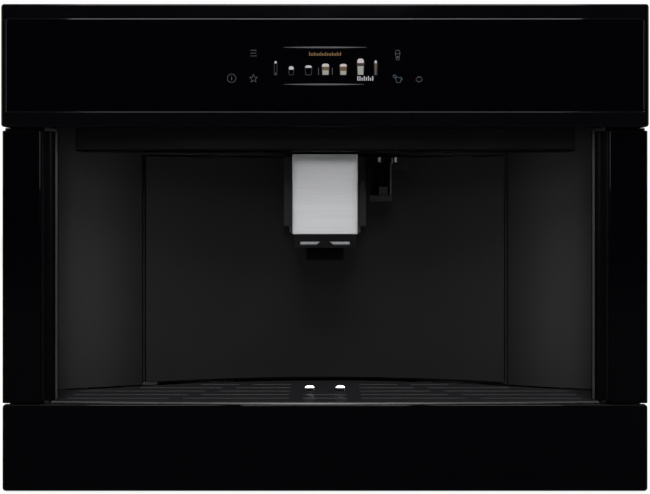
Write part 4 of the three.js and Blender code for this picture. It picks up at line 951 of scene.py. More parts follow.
def ring(
    work: bmesh.types.BMesh, place: Matrix, height: float, reach: Sequence[float]
) -> list[bmesh.types.BMVert]:
    """Adds a ring of corners.

    Args:
        work: The mesh that they go into.
        place: Where the ring's axis starts, and which way its Z points.
        height: How high the ring lies on that axis, in metres.
        reach: How far each corner stands from the axis, in metres.

    Returns:
        The corners.
    """
    return [
        work.verts.new(place @ Vector((out * math.cos(a), out * math.sin(a), height)))
        for a, out in zip(around(len(reach)), reach)
    ]


def join_rows(work: bmesh.types.BMesh, rows: Sequence[Sequence[bmesh.types.BMVert]]) -> None:
    """Adds the faces between closed rows of corners. A row of one corner is a tip.

    Args:
        work: The mesh that they go into.
        rows: The rows, in order.
    """
    steps = max(len(row) for row in rows)
    for low, high in zip(rows, rows[1:]):
        for i in range(steps):
            j = (i + 1) % steps
            face = (low[i % len(low)], low[j % len(low)], high[j % len(high)], high[i % len(high)])
            work.faces.new(list(dict.fromkeys(face)))


def turned(work: bmesh.types.BMesh, profile: Sequence[Point], place: Matrix, steps: int) -> None:
    """Adds a closed turned body to a mesh.

    Args:
        work: The mesh that it goes into.
        profile: Radius and height of each point of its half section, in metres, from axis to axis.
        place: Where its foot stands and which way its Z points.
        steps: How many sides it has.
    """
    rows = []
    for radius, height in profile:
        corners = steps if radius > 0 else 1
        rows.append(ring(work, place, height, [radius] * corners))
    join_rows(work, rows)


def facing(at: Sequence[float], way: Sequence[float], spin: float = 0.0) -> Matrix:
    """A place at a point whose Z looks along a direction, turned by an angle in degrees."""
    turn = Vector(way).to_track_quat("Z", "Y").to_matrix().to_4x4()
    return Matrix.Translation(Vector(at)) @ turn @ Matrix.Rotation(math.radians(spin), 4, "Z")


class FlatWork:
    """Thin flat shapes on a face that looks to the front, gathered in one mesh.

    They stand THICK millimetres proud of it. A disc has DISC_STEPS corners, and an arc has one
    every ARC_STEP degrees, or ARC_LEAST in all. A stroke's mitre reaches no further than half its
    width divided by MITRE.
    """

    THICK = 0.04
    DISC_STEPS = 20
    ARC_STEP = 15
    ARC_LEAST = 6
    MITRE = 0.4

    def __init__(self, face: float) -> None:
        """Starts an empty mesh.

        Args:
            face: Y of the face that carries the shapes, in metres.
        """
        self.work = bmesh.new()
        self.back = face
        self.front = face - self.THICK * MM

    def _corner(self, at: Point, y: float) -> bmesh.types.BMVert:
        """Adds a corner at X and Z in millimetres and Y in metres."""
        return self.work.verts.new((at[0] * MM, y, at[1] * MM))

    def plate(self, outline: Sequence[Point]) -> None:
        """Adds a closed plate.

        Args:
            outline: Its corners as X and Z in millimetres, counterclockwise from the front.
        """
        front = [self._corner(at, self.front) for at in outline]
        back = [self._corner(at, self.back) for at in outline]
        self.work.faces.new(front)
        self.work.faces.new(back[::-1])
        join_rows(self.work, (back, front))

    def bar(self, left: float, right: float, low: float, high: float) -> None:
        """Adds a plate from its ends along X and Z, in millimetres."""
        self.plate(((left, low), (right, low), (right, high), (left, high)))

    def disc(self, centre: Point, radius: float) -> None:
        """Adds a round plate from its centre and its radius in millimetres."""
        self.plate([polar(centre, radius, a) for a in around(self.DISC_STEPS)])

    def stroke(self, points: Sequence[Point], width: float, closed: bool = False) -> None:
        """Adds a line of even width with mitred corners.

        Args:
            points: The points that it follows, in millimetres.
            width: Its width in millimetres.
            closed: Whether it comes back to its first point.
        """
        count = len(points)
        sides: list[tuple[Point, Point]] = []
        for i, here in enumerate(points):
            before = points[i - 1] if i or closed else None
            after = points[(i + 1) % count] if i < count - 1 or closed else None
            ways = []
            for start, end in ((before, here), (here, after)):
                if start is not None and end is not None:
                    ways.append((Vector(end) - Vector(start)).normalized())
            way = sum(ways, Vector((0.0, 0.0))).normalized()
            off = Vector((-way.y, way.x))
            reach = width / 2 / max(self.MITRE, abs(way.dot(ways[0])))
            sides.append((tuple(Vector(here) + off * reach), tuple(Vector(here) - off * reach)))
        rows = [
            [self._corner(at, y) for at, y in
             ((a, self.front), (b, self.front), (b, self.back), (a, self.back))]
            for a, b in sides
        ]
        join_rows(self.work, rows + rows[:1] if closed else rows)
        if not closed:
            self.work.faces.new(rows[0][::-1])
            self.work.faces.new(rows[-1])

    def arc(self, centre: Point, radius: float, start: float, end: float, width: float) -> None:
        """Adds a round stroke.

        Args:
            centre: Its centre in millimetres.
            radius: Its radius in millimetres.
            start: Where it starts, in degrees from +X.
            end: Where it ends, in degrees.
            width: Its width in millimetres.
        """
        whole = abs(end - start) >= 360
        steps = max(self.ARC_LEAST, round(abs(end - start) / self.ARC_STEP))
        turns = [
            math.radians(start + (end - start) * i / steps) for i in range(steps + (not whole))
        ]
        self.stroke([polar(centre, radius, a) for a in turns], width, closed=whole)

    def done(self) -> bmesh.types.BMesh:
        """Turns all faces outwards and hands the mesh over."""
        bmesh.ops.recalc_face_normals(self.work, faces=self.work.faces)
        return self.work


@dataclass
class Screws:
    """Pan-head screws with a six-sided socket, gathered in one mesh. Sizes in millimetres."""

    radius: float = 3.4
    height: float = 1.7
    socket: float = 1.5
    socket_depth: float = 1.1
    sunk: float = 0.15
    steps: int = 24
    dome: tuple[Point, ...] = ((1.0, 0.0), (1.0, 0.35), (0.94, 0.66), (0.78, 0.9), (0.56, 1.0))
    work: bmesh.types.BMesh = field(default_factory=bmesh.new)

    def put(self, at: Sequence[float], way: Sequence[float], spin: float) -> None:
        """Adds one screw.

        Args:
            at: The point of the face under its head, in metres.
            way: The direction that its head looks.
            spin: How far its socket is turned, in degrees.
        """
        place = facing(at, way, spin)
        profile = [(self.radius, -self.sunk)]
        profile += [(self.radius * a, self.height * b) for a, b in self.dome]
        rows = [ring(self.work, place, b * MM, [a * MM] * self.steps) for a, b in profile]
        side = math.pi / 3
        socket = [self.socket * MM / math.cos(a % side - side / 2) for a in around(self.steps)]
        for height in (self.height, self.height - self.socket_depth):
            rows.append(ring(self.work, place, height * MM, socket))
        self.work.faces.new(rows[0][::-1])
        self.work.faces.new(rows[-1])
        join_rows(self.work, rows)


# ------------------------------------------------------------------------------ sub-assemblies


@dataclass(frozen=True)
class Drink:
    """A drink in the display's row, in millimetres: each layer is a finish and its upper end."""

    place: float
    half: float
    tall: float
    layers: tuple[tuple[str, float], ...]


DRINKS = (
    Drink(-45.4, 1.3, 12.6, (("display cup", 0.14), ("", 0.82), ("display foam", 1.0))),
    Drink(-31.0, 2.5, 7.8, (("", 0.60), ("display foam", 1.0))),
    Drink(-15.2, 3.2, 8.6, (("", 0.74), ("display foam", 1.0))),
    Drink(0.5, 3.5, 10.2, (("display milk", 0.40), ("display coffee", 0.72), ("display foam", 1.0))),
    Drink(16.8, 3.4, 10.0, (("display milk", 0.36), ("display coffee", 0.74), ("display foam", 1.0))),
    Drink(32.7, 3.3, 14.8, (("display milk", 0.54), ("display dark", 0.72), ("display foam", 1.0))),
    Drink(46.6, 1.4, 13.2, (("display line", 0.28), ("display coffee", 0.80), ("display foam", 1.0))),
)


@dataclass(frozen=True)
class Signs:
    """A row of plain uprights that stands in for words, in millimetres.

    Each digit of heights is the height of one upright, in ninths of a full one.
    """

    left: float
    foot: float
    tall: float
    pitch: float
    width: float
    heights: str

    def draw(self, flat: FlatWork) -> None:
        """Adds the uprights.

        Args:
            flat: The flat shapes that they join.
        """
        for i, digit in enumerate(self.heights):
            x = self.left + i * self.pitch
            top = self.foot + self.tall * int(digit) / 9
            flat.bar(x - self.width / 2, x + self.width / 2, self.foot, top)


TITLE = Signs(
    left=-14.2, foot=402.9, tall=3.4, pitch=1.5, width=0.62, heights="96696669669666966969"
)
START = Signs(left=30.2, foot=380.0, tall=4.1, pitch=1.95, width=0.9, heights="99697969")


@dataclass
class ControlPanel:
    """Glass control panel with its display and touch symbols."""

    shop: Workshop
    line_half: float = 38.5
    line_top: float = 410.6
    line_foot: float = 376.6
    line_short: float = 36.0
    line_thick: float = 1.5
    line_tip: float = 0.12
    line_steps: int = 12
    cup_foot: float = 385.4
    marks: Point = (-5.9, 6.7)
    mark_half: float = 0.22
    mark_top: float = 391.9
    glass_line: float = 0.32
    glass_gap: float = 0.35
    glass_lean: float = 0.6
    slim_half: float = 2.0
    slim_lean: float = 0.2
    base_gap: float = 0.1
    taper: float = 0.5
    foam_bend: float = 0.4
    foam_crown: float = 0.55
    brim: float = 0.9
    print_width: float = 0.36

    def build(self) -> None:
        """Skins the glass and its carrier, and lays the picture and the symbols on the glass."""
        self.shop.skin("control_glass", edge=0.3)
        self.shop.skin("control_bezel", edge=0.4)
        self.shop.keep("display_module")
        self.shop.keep("control_board")
        self.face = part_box("control_glass")[0].y
        self._picture()
        self._symbols()

    def _lay(self, name: str, flat: FlatWork, finish: str) -> None:
        """Makes one piece of the picture."""
        self.shop.add(name, flat.done(), finish, "machine", Slot.WHITE_LIGHT)

    def _picture(self) -> None:
        """Draws the display: two lines, two marks, a title, a start mark and a row of drinks."""
        lines = FlatWork(self.face)
        for height, right in ((self.line_top, self.line_half), (self.line_foot, self.line_short)):
            self._tapered(lines, -self.line_half, right, height)
        for place in self.marks:
            left, right = place - self.mark_half, place + self.mark_half
            lines.bar(left, right, self.cup_foot, self.mark_top)
        self._lay("display_lines", lines, "display line")

        for name, signs, finish in (
            ("display_title", TITLE, "display amber"), ("display_start", START, "display white")
        ):
            flat = FlatWork(self.face)
            signs.draw(flat)
            self._lay(name, flat, finish)
        for number, drink in enumerate(DRINKS):
            self._drink(number, drink)

    def _tapered(self, flat: FlatWork, left: float, right: float, height: float) -> None:
        """Adds a line that is thickest in its middle.

        Args:
            flat: The flat shapes that it joins.
            left: X of its left end.
            right: X of its right end.
            height: Z of its middle.
        """
        upper, lower = [], []
        for i in range(self.line_steps + 1):
            share = i / self.line_steps
            x = left + (right - left) * share
            swell = self.line_tip + (1 - self.line_tip) * math.sin(math.pi * share)
            half = self.line_thick / 2 * swell
            upper.append((x, height + half))
            lower.append((x, height - half))
        flat.plate(lower + upper[::-1])

    def _drink(self, number: int, drink: Drink) -> None:
        """Draws one glass with its layers.

        Args:
            number: Where it stands in the row.
            drink: The drink that it holds.
        """
        at, foot, half, tall = drink.place, self.cup_foot, drink.half, drink.tall
        low = 0.0
        for part, (finish, high) in enumerate(drink.layers):
            if finish:
                layer = FlatWork(self.face)
                bottom, top = foot + tall * low + self.base_gap, foot + tall * high
                near = half - self.glass_gap - self.taper * (1 - low)
                wide = half - self.glass_gap - self.taper * (1 - high)
                upper = [(at + wide, top), (at - wide, top)]
                if high == 1.0:
                    shoulder = top - (top - bottom) * self.foam_bend
                    crown = wide * self.foam_crown
                    upper = [
                        (at + wide, shoulder), (at + crown, top),
                        (at - crown, top), (at - wide, shoulder),
                    ]
                layer.plate([(at - near, bottom), (at + near, bottom)] + upper)
                self._lay(f"display_drink_{number}_{part}", layer, finish)
            low = high
        glass = FlatWork(self.face)
        lean = self.glass_lean if half > self.slim_half else self.slim_lean
        brim, base = foot + tall * self.brim, foot - self.base_gap
        glass.stroke(
            ((at - half, brim), (at - half + lean, base), (at + half - lean, base), (at + half, brim)),
            self.glass_line,
        )
        self._lay(f"display_glass_{number}", glass, "display cup")

    @staticmethod
    def _star(centre: Point, outer: float, inner: float) -> list[Point]:
        """Works out a star with five points.

        Args:
            centre: Its centre in millimetres.
            outer: How far its points reach.
            inner: How far the corners between them reach.

        Returns:
            Its ten corners.
        """
        corners = []
        for i in range(10):
            reach = inner if i % 2 else outer
            angle = math.pi / 2 + i * math.pi / 5
            corners.append(polar(centre, reach, angle))
        return corners

    def _symbols(self) -> None:
        """Draws the touch symbols beside the display, from their points in millimetres."""
        width = self.print_width
        marks = FlatWork(self.face)
        for height in (402.7, 405.3, 407.9):
            marks.bar(-68.5, -62.9, height - width / 2, height + width / 2)
        marks.arc((-85.8, 382.2), 3.9, 0, 360, width)
        marks.bar(-86.0, -85.6, 380.2, 384.2)
        marks.stroke(self._star((-65.7, 381.9), 3.9, 1.7), width, closed=True)
        marks.stroke(((64.6, 405.0), (65.2, 407.8), (68.4, 407.8), (69.0, 405.0)), width)
        marks.stroke(((64.2, 404.8), (69.4, 404.8)), width)
        marks.stroke(((64.8, 404.6), (65.6, 399.2), (68.0, 399.2), (68.8, 404.6)), width)
        marks.disc((66.8, 401.6), 0.8)
        marks.arc((86.5, 380.2), 3.0, 20, 160, width)
        marks.arc((86.5, 382.0), 3.0, 200, 340, width)
        marks.stroke(((84.8, 383.6), (88.2, 383.6)), width)
        self._lay("touch_symbols", marks, "touch print")
        cup = FlatWork(self.face)
        cup.arc((63.9, 384.0), 1.3, 0, 360, width)
        cup.stroke(
            ((64.9, 383.0), (65.7, 378.4), (69.3, 378.4), (70.1, 383.0)), width, closed=True
        )
        cup.arc((70.0, 381.4), 1.1, -80, 80, width)
        self._lay("touch_cup", cup, "touch accent")


@dataclass
class CupNiche:
    """Hollow niche for the cups, between the side glass and under the control panel."""

    shop: Workshop
    bead_highlight_width: float = 2.35

    def build(self) -> None:
        """Skins the side glass, posts, wings, roof, hood and the door's frame."""
        for side in Side:
            self.shop.skin(f"side_glass_{side.value}", edge=0.3)
            self._post(side)
            # The wings carry painted shade, darker towards the middle.
            self.shop.skin(f"niche_wing_{side.value}", "satin wing painted shade", edge=0.3)
        self.shop.skin("niche_roof", "mat black", edge=0.2)
        hood = self.shop.skin("hood_bar", "dark gloss", edge=0.35)
        # Painted shade: the hood's underside is darkened.
        self.shop.paint_where(hood, "deep black and painted shade", lambda at, way: way.z < -0.5)
        self.shop.skin("door_frame", edge=0.3)
        for name in ("hinge_pin_top", "hinge_pin_bottom"):
            self.shop.skin(name, edge=0.3)

    def _post(self, side: Side) -> None:
        """Skins a post, darkens its sides as painted shade and gives the bead along its inner edge a
        painted highlight.

        Args:
            side: The side on which it stands.
        """
        low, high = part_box(f"post_{side.value}")
        inner = min(abs(low.x), abs(high.x)) + self.bead_highlight_width * MM
        post = self.shop.skin(f"post_{side.value}", "dark gloss", edge=0.25)
        # Painted shade on the post's sides, and a painted highlight on the bead along its inner edge.
        self.shop.paint_where(post, "deep black and painted shade", lambda at, way: abs(way.x) > 0.1)
        self.shop.paint_where(
            post, "painted highlight bead", lambda at, way: abs(at.x) < inner and way.y < -0.5
        )


@dataclass
class ServiceDoor:
    """Hollow service door, with the spout's guide and the plug of the hot water outlet."""

    shop: Workshop
    rivet_radius: float = 1.1
    rivet_height: float = 0.6
    rivet_inset: float = 2.4
    rivet_reach: float = 2.88
    rivet_sunk: float = 0.05
    rivet_steps: int = 20
    dome: tuple[Point, ...] = (
        (0.0, 0.0), (1.0, 0.0), (0.92, 0.45), (0.66, 0.82), (0.3, 0.98), (0.0, 1.0),
    )

    def build(self) -> None:
        """Skins the door and what it carries, and puts two bright rivets on the plug's plate."""
        self.shop.skin("service_door", "satin door", edge=0.35)
        self.shop.skin("spout_guide", "satin black", edge=0.3)
        self.shop.skin("water_connector", "mat black", edge=0.3)
        self._rivets()

    def _rivets(self) -> None:
        """Sets a domed rivet near each end of the connector's plate."""
        low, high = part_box("water_connector")
        corners = self.shop.nodes["water_connector"].data.vertices
        work = bmesh.new()
        inset, near = self.rivet_inset * MM, self.rivet_reach * MM
        profile = [(self.rivet_radius * a * MM, self.rivet_height * b * MM) for a, b in self.dome]
        for x in (low.x + inset, high.x - inset):
            front = min(one.co.y for one in corners if abs(one.co.x - x) < near)
            place = facing((x, front + self.rivet_sunk * MM, (low.z + high.z) / 2), (0, -1, 0))
            turned(work, profile, place, self.rivet_steps)
        self.shop.add("connector_rivets", work, "polished steel", "door", Slot.POLISHED_STEEL)


@dataclass
class CoffeeSpout:
    """Coffee spout: a brushed cover on its carriage, with lights and a nozzle."""

    shop: Workshop
    corner_rise: float = 0.9
    corner_band: float = 3.0

    def build(self) -> None:
        """Skins the spout's pieces."""
        self.shop.skin("spout_cover", edge=0.3, steps=3, reshape=self._flatten)
        # Painted light: the carriage is coloured lighter, against the shade under the hood.
        self.shop.skin("spout_carriage", "satin cheek painted light", edge=0.3)
        self.shop.skin("spout_base", "soft gloss", edge=0.3)
        self.shop.skin("coffee_nozzle", "deep black and painted shade", edge=0.3)
        for side in Side:
            self.shop.skin(f"spout_light_{side.value}", edge=0.2)

    def _flatten(self, work: bmesh.types.BMesh) -> None:
        """Brings the cover's slanted edges nearly level with its face.

        Args:
            work: The cover's mesh, in metres.
        """
        low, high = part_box("spout_cover")
        outermost = high.x - low.y - self.corner_band * MM
        for corner in work.verts:
            if abs(corner.co.x) - corner.co.y > outermost:
                corner.co.y -= self.corner_rise * MM


@dataclass
class HotWaterOutlet:
    """Hot water outlet, which pulls off its plug."""

    shop: Workshop
    ledge_tall: float = 6.4
    block_tall: float = 15.2
    head_tall: float = 9.0
    tube_shift: float = 0.6
    tube_half: float = 5.5
    wall: float = 1.7
    highlight_from: float = 7.3
    highlight_to: float = 9.7

    def build(self) -> None:
        """Skins the outlet and its collar, each with painted light and painted highlights on dark
        gloss.
        """
        low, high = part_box("hot_water_spout")
        ledge = low.z + self.ledge_tall * MM
        block = low.z + self.block_tall * MM
        corners = self.shop.nodes["hot_water_spout"].data.vertices
        wall = max(one.co.x for one in corners if one.co.z < ledge) - self.wall * MM
        top = high.z - self.head_tall * MM
        tube = (low.x + high.x) / 2 - self.tube_shift * MM

        def cut(work: bmesh.types.BMesh) -> None:
            """Parts the front at the ledge's top and at the wall.

            Args:
                work: The outlet's mesh, in metres.
            """
            for at, way in (((0, 0, ledge), (0, 0, 1)), ((wall, 0, 0), (1, 0, 0))):
                parts = work.verts[:] + work.edges[:] + work.faces[:]
                bmesh.ops.bisect_plane(work, geom=parts, plane_co=at, plane_no=way)

        outlet = self.shop.skin("hot_water_spout", "gloss black", edge=0.25, reshape=cut)
        # Painted light: the ledge and the tube are coloured lighter, and the front of the wall takes a
        # painted highlight.
        front = {
            "satin door": lambda at: (
                at.z < ledge or abs(at.x - tube) < self.tube_half * MM and at.z < block
            ),
            "painted highlight satin": lambda at: ledge < at.z < top and at.x > wall,
        }
        for finish, test in front.items():
            self.shop.paint_where(
                outlet, finish, lambda at, way, test=test: way.y < -0.5 and test(at)
            )
        low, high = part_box("outlet_collar")
        middle = (low.x + high.x) / 2
        near, far = self.highlight_from * MM, self.highlight_to * MM
        # Painted highlight: pale bands on the collar's sides, where it would catch light.
        collar = self.shop.skin("outlet_collar", "gloss black", edge=0.1)
        self.shop.paint_where(
            collar, "pale painted highlight", lambda at, way: near < abs(at.x - middle) < far and way.y < -0.2
        )


@dataclass
class DripDrawer:
    """Drawer with the drip tray, its grille and the grounds container."""

    shop: Workshop
    lip_height: float = 1.8
    lip_edge: float = 0.1
    lip_lean: float = 0.55
    lip_bow: float = 9.5
    lip_depth: float = 8.0

    def build(self) -> None:
        """Skins the drawer's pieces."""
        self.shop.skin("lower_panel", edge=0.3)
        self.shop.skin("drawer_front", edge=0.3)
        self._tray()
        grille = self.shop.skin("cup_grille", "satin deck", edge=0.35)
        # Painted highlight on the walls of the slots that face the front.
        self.shop.paint_where(grille, "painted highlight satin", lambda at, way: way.y < -0.6)
        for side in Side:
            self._rim(side)
        self.shop.skin("grounds_container", "mat black", edge=0.3)

    def _tray(self) -> None:
        """Skins the tray, with the face of its front lip leant back to catch the light and coloured
        brighter as a painted highlight.
        """
        low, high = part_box("drip_tray")
        foot = high.z - self.lip_height * MM
        reach = low.y + self.lip_bow * MM

        def is_lip(at: Vector, way: Vector) -> bool:
            """Whether a face belongs to the front of the lip."""
            return way.y < -0.9 and at.y < reach and at.z > foot

        def lean(work: bmesh.types.BMesh) -> None:
            """Moves the upper edge of the lip back.

            Args:
                work: The tray's mesh, in metres.
            """
            corners = {
                corner
                for face in work.faces if is_lip(face.calc_center_median(), face.normal)
                for corner in face.verts if corner.co.z > high.z - self.lip_edge * MM
            }
            for corner in corners:
                corner.co.y += self.lip_lean * MM

        tray = self.shop.skin("drip_tray", "satin deck", edge=0.25, reshape=lean)
        # Painted highlight along the front of the lip.
        self.shop.paint_where(tray, "painted highlight gloss", is_lip)

    def _rim(self, side: Side) -> None:
        """Skins the rim of a drain: bright at the raised lip behind the opening, else dark.

        Args:
            side: The side on which it lies.
        """
        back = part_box(f"drain_rim_{side.value}")[1].y - self.lip_depth * MM
        rim = self.shop.skin(f"drain_rim_{side.value}", "satin deck", edge=0.15)
        self.shop.paint_where(
            rim, "bright lip", lambda at, way: at.y > back and way.y < -0.15 and way.z > 0.05
        )


@dataclass
class Chassis:
    """Sheet-metal chassis with its front frame, and the screws that hold it."""

    shop: Workshop
    margin: float = 9.0
    front_margin: float = 14.4
    wide_margin: float = 18.0
    rubber_top: float = 3.7
    rear_turn: float = 17.0
    top_turn: float = 23.0
    side_turn: float = 31.0

    def build(self) -> None:
        """Skins the sheets and puts the screws in."""
        self.shop.skin("front_frame", edge=0.3)
        for name in ("rear_panel", "top_panel", "inner_deck"):
            self.shop.skin(name, edge=0.25)
        pan = self.shop.skin("base_pan", edge=0.25)
        self.shop.paint_where(pan, "rubber", lambda at, way: at.z < self.rubber_top * MM)
        for side in Side:
            self.shop.skin(f"side_panel_{side.value}", edge=0.25)
            self.shop.skin(f"runner_cabinet_{side.value}", "runner steel", edge=0.25)
            self.shop.skin(f"runner_middle_{side.value}", "runner steel", edge=0.2)
        self._rear_screws()
        self._top_screws()
        self._side_screws()

    def _rear_screws(self) -> None:
        """Sets screws round the edge of the rear panel."""
        low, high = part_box("rear_panel")
        screws = Screws()
        edge = self.margin * MM
        heights = (low.z + self.wide_margin * MM, (low.z + high.z) / 2, high.z - edge)
        for i, z in enumerate(heights):
            for j, x in enumerate((low.x + edge, 0.0, high.x - edge)):
                if i != 1 or j != 1:
                    screws.put((x, high.y, z), (0, 1, 0), self.rear_turn * (i + 3 * j))
        self._add("rear_screws", screws)

    def _top_screws(self) -> None:
        """Sets screws along the front and rear edges of the top panel."""
        low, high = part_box("top_panel")
        screws = Screws()
        wide = self.wide_margin * MM
        for i, y in enumerate((low.y + self.front_margin * MM, high.y - self.margin * MM)):
            for j, x in enumerate((low.x + wide, low.x / 3, high.x / 3, high.x - wide)):
                screws.put((x, y, high.z), (0, 0, 1), self.top_turn * (i + 2 * j))
        self._add("top_screws", screws)

    def _side_screws(self) -> None:
        """Sets screws in the corners of both side panels, on the sheet beside the top panel."""
        screws = Screws()
        edge = self.margin * MM
        sheet = max(abs(corner.x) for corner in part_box("top_panel"))
        for side in Side:
            low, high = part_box(f"side_panel_{side.value}")
            for i, y in enumerate((low.y + self.front_margin * MM, high.y - edge)):
                for j, z in enumerate((low.z + self.wide_margin * MM, high.z - edge)):
                    spin = self.side_turn * (i + 2 * j)
                    screws.put((side.sign * sheet, y, z), (side.sign, 0, 0), spin)
        self._add("side_screws", screws)

    def _add(self, name: str, screws: Screws) -> None:
        """Adds a set of screws to the machine's body."""
        self.shop.add(name, screws.work, "screw steel", "machine", Slot.POLISHED_STEEL)


@dataclass
class InnerWorks:
    """Grinder, hopper, water tank, brew unit, heater, pump and mains parts."""

    shop: Workshop
    kept: tuple[str, ...] = (
        "grinder_motor", "grinder_housing", "burr_cone", "tank_shelf", "brew_unit",
        "brew_motor", "thermoblock", "water_pump", "power_board",
    )
    skinned: tuple[str, ...] = (
        "bean_hopper", "hopper_lid", "water_tank", "tank_lid", "mains_inlet",
    )
    pin_half: float = 1.0
    pin_tall: float = 4.0
    pin_reach: float = 9.5
    pin_tip: float = 1.4
    tip_share: float = 0.45
    pin_places: tuple[Point, ...] = ((-7.0, -1.6), (0.0, 3.0), (7.0, -1.6))
    socket_deep: float = 16.0

    def build(self) -> None:
        """Dresses the works inside the chassis."""
        for name in self.kept:
            self.shop.keep(name)
        for name in self.skinned:
            self.shop.skin(name, edge=0.3)
        self._pins()
        self.shop.skin("power_switch", "gloss black", edge=0.5, steps=3)

    def _pins(self) -> None:
        """Sets the three pins in the mains inlet."""
        low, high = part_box("mains_inlet")
        floor = high.y - self.socket_deep * MM
        middle, height = (low.x + high.x) / 2, (low.z + high.z) / 2
        stations = (
            (0.0, 1.0), (self.pin_reach - self.pin_tip, 1.0), (self.pin_reach, self.tip_share)
        )
        work = bmesh.new()
        for shift, rise in self.pin_places:
            rows = [
                [
                    work.verts.new((
                        middle + (shift + x * share * self.pin_half) * MM, floor + reach * MM,
                        height + (rise + z * share * self.pin_tall / 2) * MM,
                    )) for x, z in ((-1, -1), (1, -1), (1, 1), (-1, 1))
                ]
                for reach, share in stations
            ]
            work.faces.new(rows[0])
            work.faces.new(rows[-1][::-1])
            join_rows(work, rows)
        bmesh.ops.recalc_face_normals(work, faces=work.faces)
        self.shop.add("mains_pins", work, "brass", "machine", Slot.POLISHED_STEEL, edge=0.3)


# -------------------------------------------------------------------------------------- studio


@dataclass(frozen=True)
class Lamp:
    """A soft rectangular lamp: its width and height in metres, and its power in watts."""

    name: str
    place: tuple[float, float, float]
    size: Point
    power: float
    aim: tuple[float, float, float] = (0.0, -0.1, 0.25)

    def hang(self) -> None:
        """Hangs the lamp at its place, so that it looks at its aim."""
        data = bpy.data.lights.new(self.name, "AREA")
        data.shape = "RECTANGLE"
        data.size, data.size_y = self.size
        data.energy = self.power
        lamp = bpy.data.objects.new(self.name, data)
        bpy.context.scene.collection.objects.link(lamp)
        lamp.matrix_world = facing(self.place, Vector(self.place) - Vector(self.aim))


LAMPS = (
    Lamp("top lamp", (0.0, -1.6, 2.4), (1.6, 1.0), 78.0),
    Lamp("front lamp", (0.0, -2.6, 1.75), (0.6, 1.4), 20.0),
    Lamp("left lamp", (-2.7, -1.5, 1.2), (1.2, 1.8), 18.0),
    Lamp("right lamp", (2.7, -1.5, 1.2), (1.2, 1.8), 18.0),
    Lamp("rear lamp", (0.0, 2.6, 2.2), (2.6, 1.6), 50.0, aim=(0.0, 0.1, 0.25)),
)


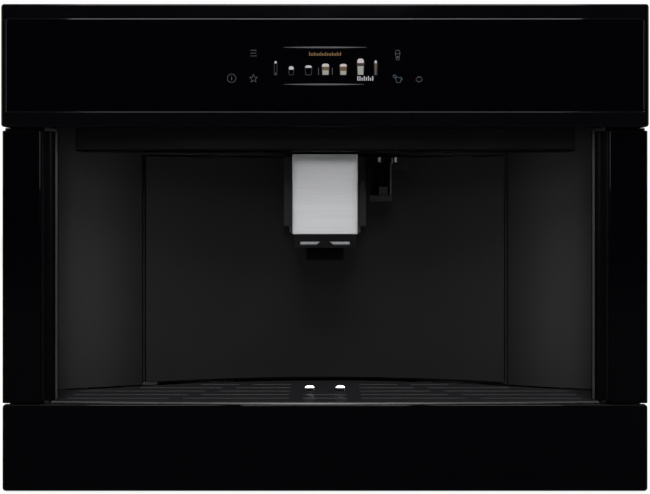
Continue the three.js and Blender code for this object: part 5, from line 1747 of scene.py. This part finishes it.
@dataclass
class Studio:
    """Pale floor, soft lamps, white background and the photograph's camera."""

    eye: tuple[float, float, float] = (0.0, -1.2019, 0.2635)
    lens: float = 59.99
    shift: float = -0.0609
    sensor: float = 36.0
    nearest: float = 0.01
    floor_radius: float = 9.0
    floor_sides: int = 96
    floor_tone: Colour = (0.86, 0.86, 0.86)
    floor_rough: float = 0.9
    floor_shine: float = 0.1
    dark_from: float = 0.3
    dark_to: float = -0.25
    dark_share: float = 0.97
    gloom: float = 0.003
    overhead: float = 0.55
    fill: float = 0.5
    pale: float = 0.85

    def build(self) -> None:
        """Sets up the floor, the lamps, the world and the camera."""
        self._floor()
        for lamp in LAMPS:
            lamp.hang()
        self._world()
        self._camera()

    def _floor(self) -> None:
        """Makes a pale floor, which mirrors in the machine as if it were dark."""
        work = bmesh.new()
        bmesh.ops.create_circle(
            work, cap_ends=True, radius=self.floor_radius, segments=self.floor_sides
        )
        mesh = bpy.data.meshes.new("floor")
        work.to_mesh(mesh)
        work.free()
        floor = bpy.data.objects.new("floor", mesh)
        bpy.context.scene.collection.objects.link(floor)
        made = bpy.data.materials.new("pale floor")
        made.use_nodes = True
        wiring = Wiring(made.node_tree)
        shader = made.node_tree.nodes["Principled BSDF"]
        shader.inputs["Base Color"].default_value = (*self.floor_tone, 1.0)
        shader.inputs["Roughness"].default_value = self.floor_rough
        shader.inputs["Specular IOR Level"].default_value = self.floor_shine
        path = wiring.node("ShaderNodeLightPath")
        place = wiring.parts(wiring.node("ShaderNodeNewGeometry").outputs["Position"])
        before = wiring.spread(place["Y"], self.dark_from, self.dark_to, 0.0, self.dark_share)
        hidden = wiring.maths("MULTIPLY", before, path.outputs["Is Glossy Ray"])
        dark = wiring.node("ShaderNodeEmission")
        dark.inputs["Strength"].default_value = 0.0
        white = wiring.node("ShaderNodeEmission")
        paled = wiring.node("ShaderNodeMixShader")
        wiring.feed(
            paled.inputs[0], wiring.maths("MULTIPLY", path.outputs["Is Camera Ray"], self.pale)
        )
        wiring.feed(paled.inputs[1], shader.outputs[0])
        wiring.feed(paled.inputs[2], white.outputs[0])
        shown = wiring.node("ShaderNodeMixShader")
        wiring.feed(shown.inputs[0], hidden)
        wiring.feed(shown.inputs[1], paled.outputs[0])
        wiring.feed(shown.inputs[2], dark.outputs[0])
        wiring.feed(made.node_tree.nodes["Material Output"].inputs["Surface"], shown.outputs[0])
        mesh.materials.append(made)

    def _world(self) -> None:
        """Makes the surroundings: white to look at, dark in front for what reflects."""
        world = bpy.data.worlds.new("studio")
        bpy.context.scene.world = world
        world.use_nodes = True
        wiring = Wiring(world.node_tree)
        world.node_tree.nodes.clear()
        way = wiring.parts(wiring.node("ShaderNodeTexCoord").outputs["Generated"])
        behind = wiring.spread(way["Y"], -0.45, 0.35, self.gloom, 1.0)
        above = wiring.spread(way["Z"], 0.35, 0.9, 0.0, self.overhead)
        mirrored = wiring.maths("ADD", behind, above, clamp=True)
        path = wiring.node("ShaderNodeLightPath")
        seen = wiring.maths(
            "ADD", path.outputs["Is Camera Ray"], path.outputs["Is Transmission Ray"], clamp=True
        )
        glossy = wiring.maths("MULTIPLY", path.outputs["Is Glossy Ray"], mirrored)
        plain = wiring.maths("SUBTRACT", 1.0, path.outputs["Is Glossy Ray"])
        ambient = wiring.maths("MULTIPLY", plain, self.fill)
        light = wiring.maths("ADD", glossy, ambient)
        strength = wiring.maths("MAXIMUM", light, seen)
        shader = wiring.node("ShaderNodeBackground")
        shader.inputs["Color"].default_value = (1.0, 1.0, 1.0, 1.0)
        wiring.feed(shader.inputs["Strength"], strength)
        end = wiring.node("ShaderNodeOutputWorld")
        wiring.feed(end.inputs["Surface"], shader.outputs[0])

    def _camera(self) -> None:
        """Stands the camera level in front of the machine."""
        data = bpy.data.cameras.new("camera")
        data.sensor_width = self.sensor
        data.lens = self.lens
        data.shift_y = self.shift
        data.clip_start = self.nearest
        camera = bpy.data.objects.new("camera", data)
        camera.location = self.eye
        camera.rotation_euler = (math.pi / 2, 0.0, 0.0)
        bpy.context.scene.collection.objects.link(camera)
        bpy.context.scene.camera = camera


def main() -> None:
    """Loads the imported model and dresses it, one sub-assembly after the other."""
    logging.basicConfig(level=logging.INFO, format="%(message)s")
    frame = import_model()
    bpy.context.scene.view_settings.view_transform = "Standard"
    shop = Workshop(frame)
    Studio().build()
    for assembly in (
        ControlPanel(shop), CupNiche(shop), ServiceDoor(shop), CoffeeSpout(shop),
        HotWaterOutlet(shop), DripDrawer(shop), Chassis(shop), InnerWorks(shop),
    ):
        LOG.info("%s", type(assembly).__name__)
        assembly.build()


if __name__ == "__main__":
    main()
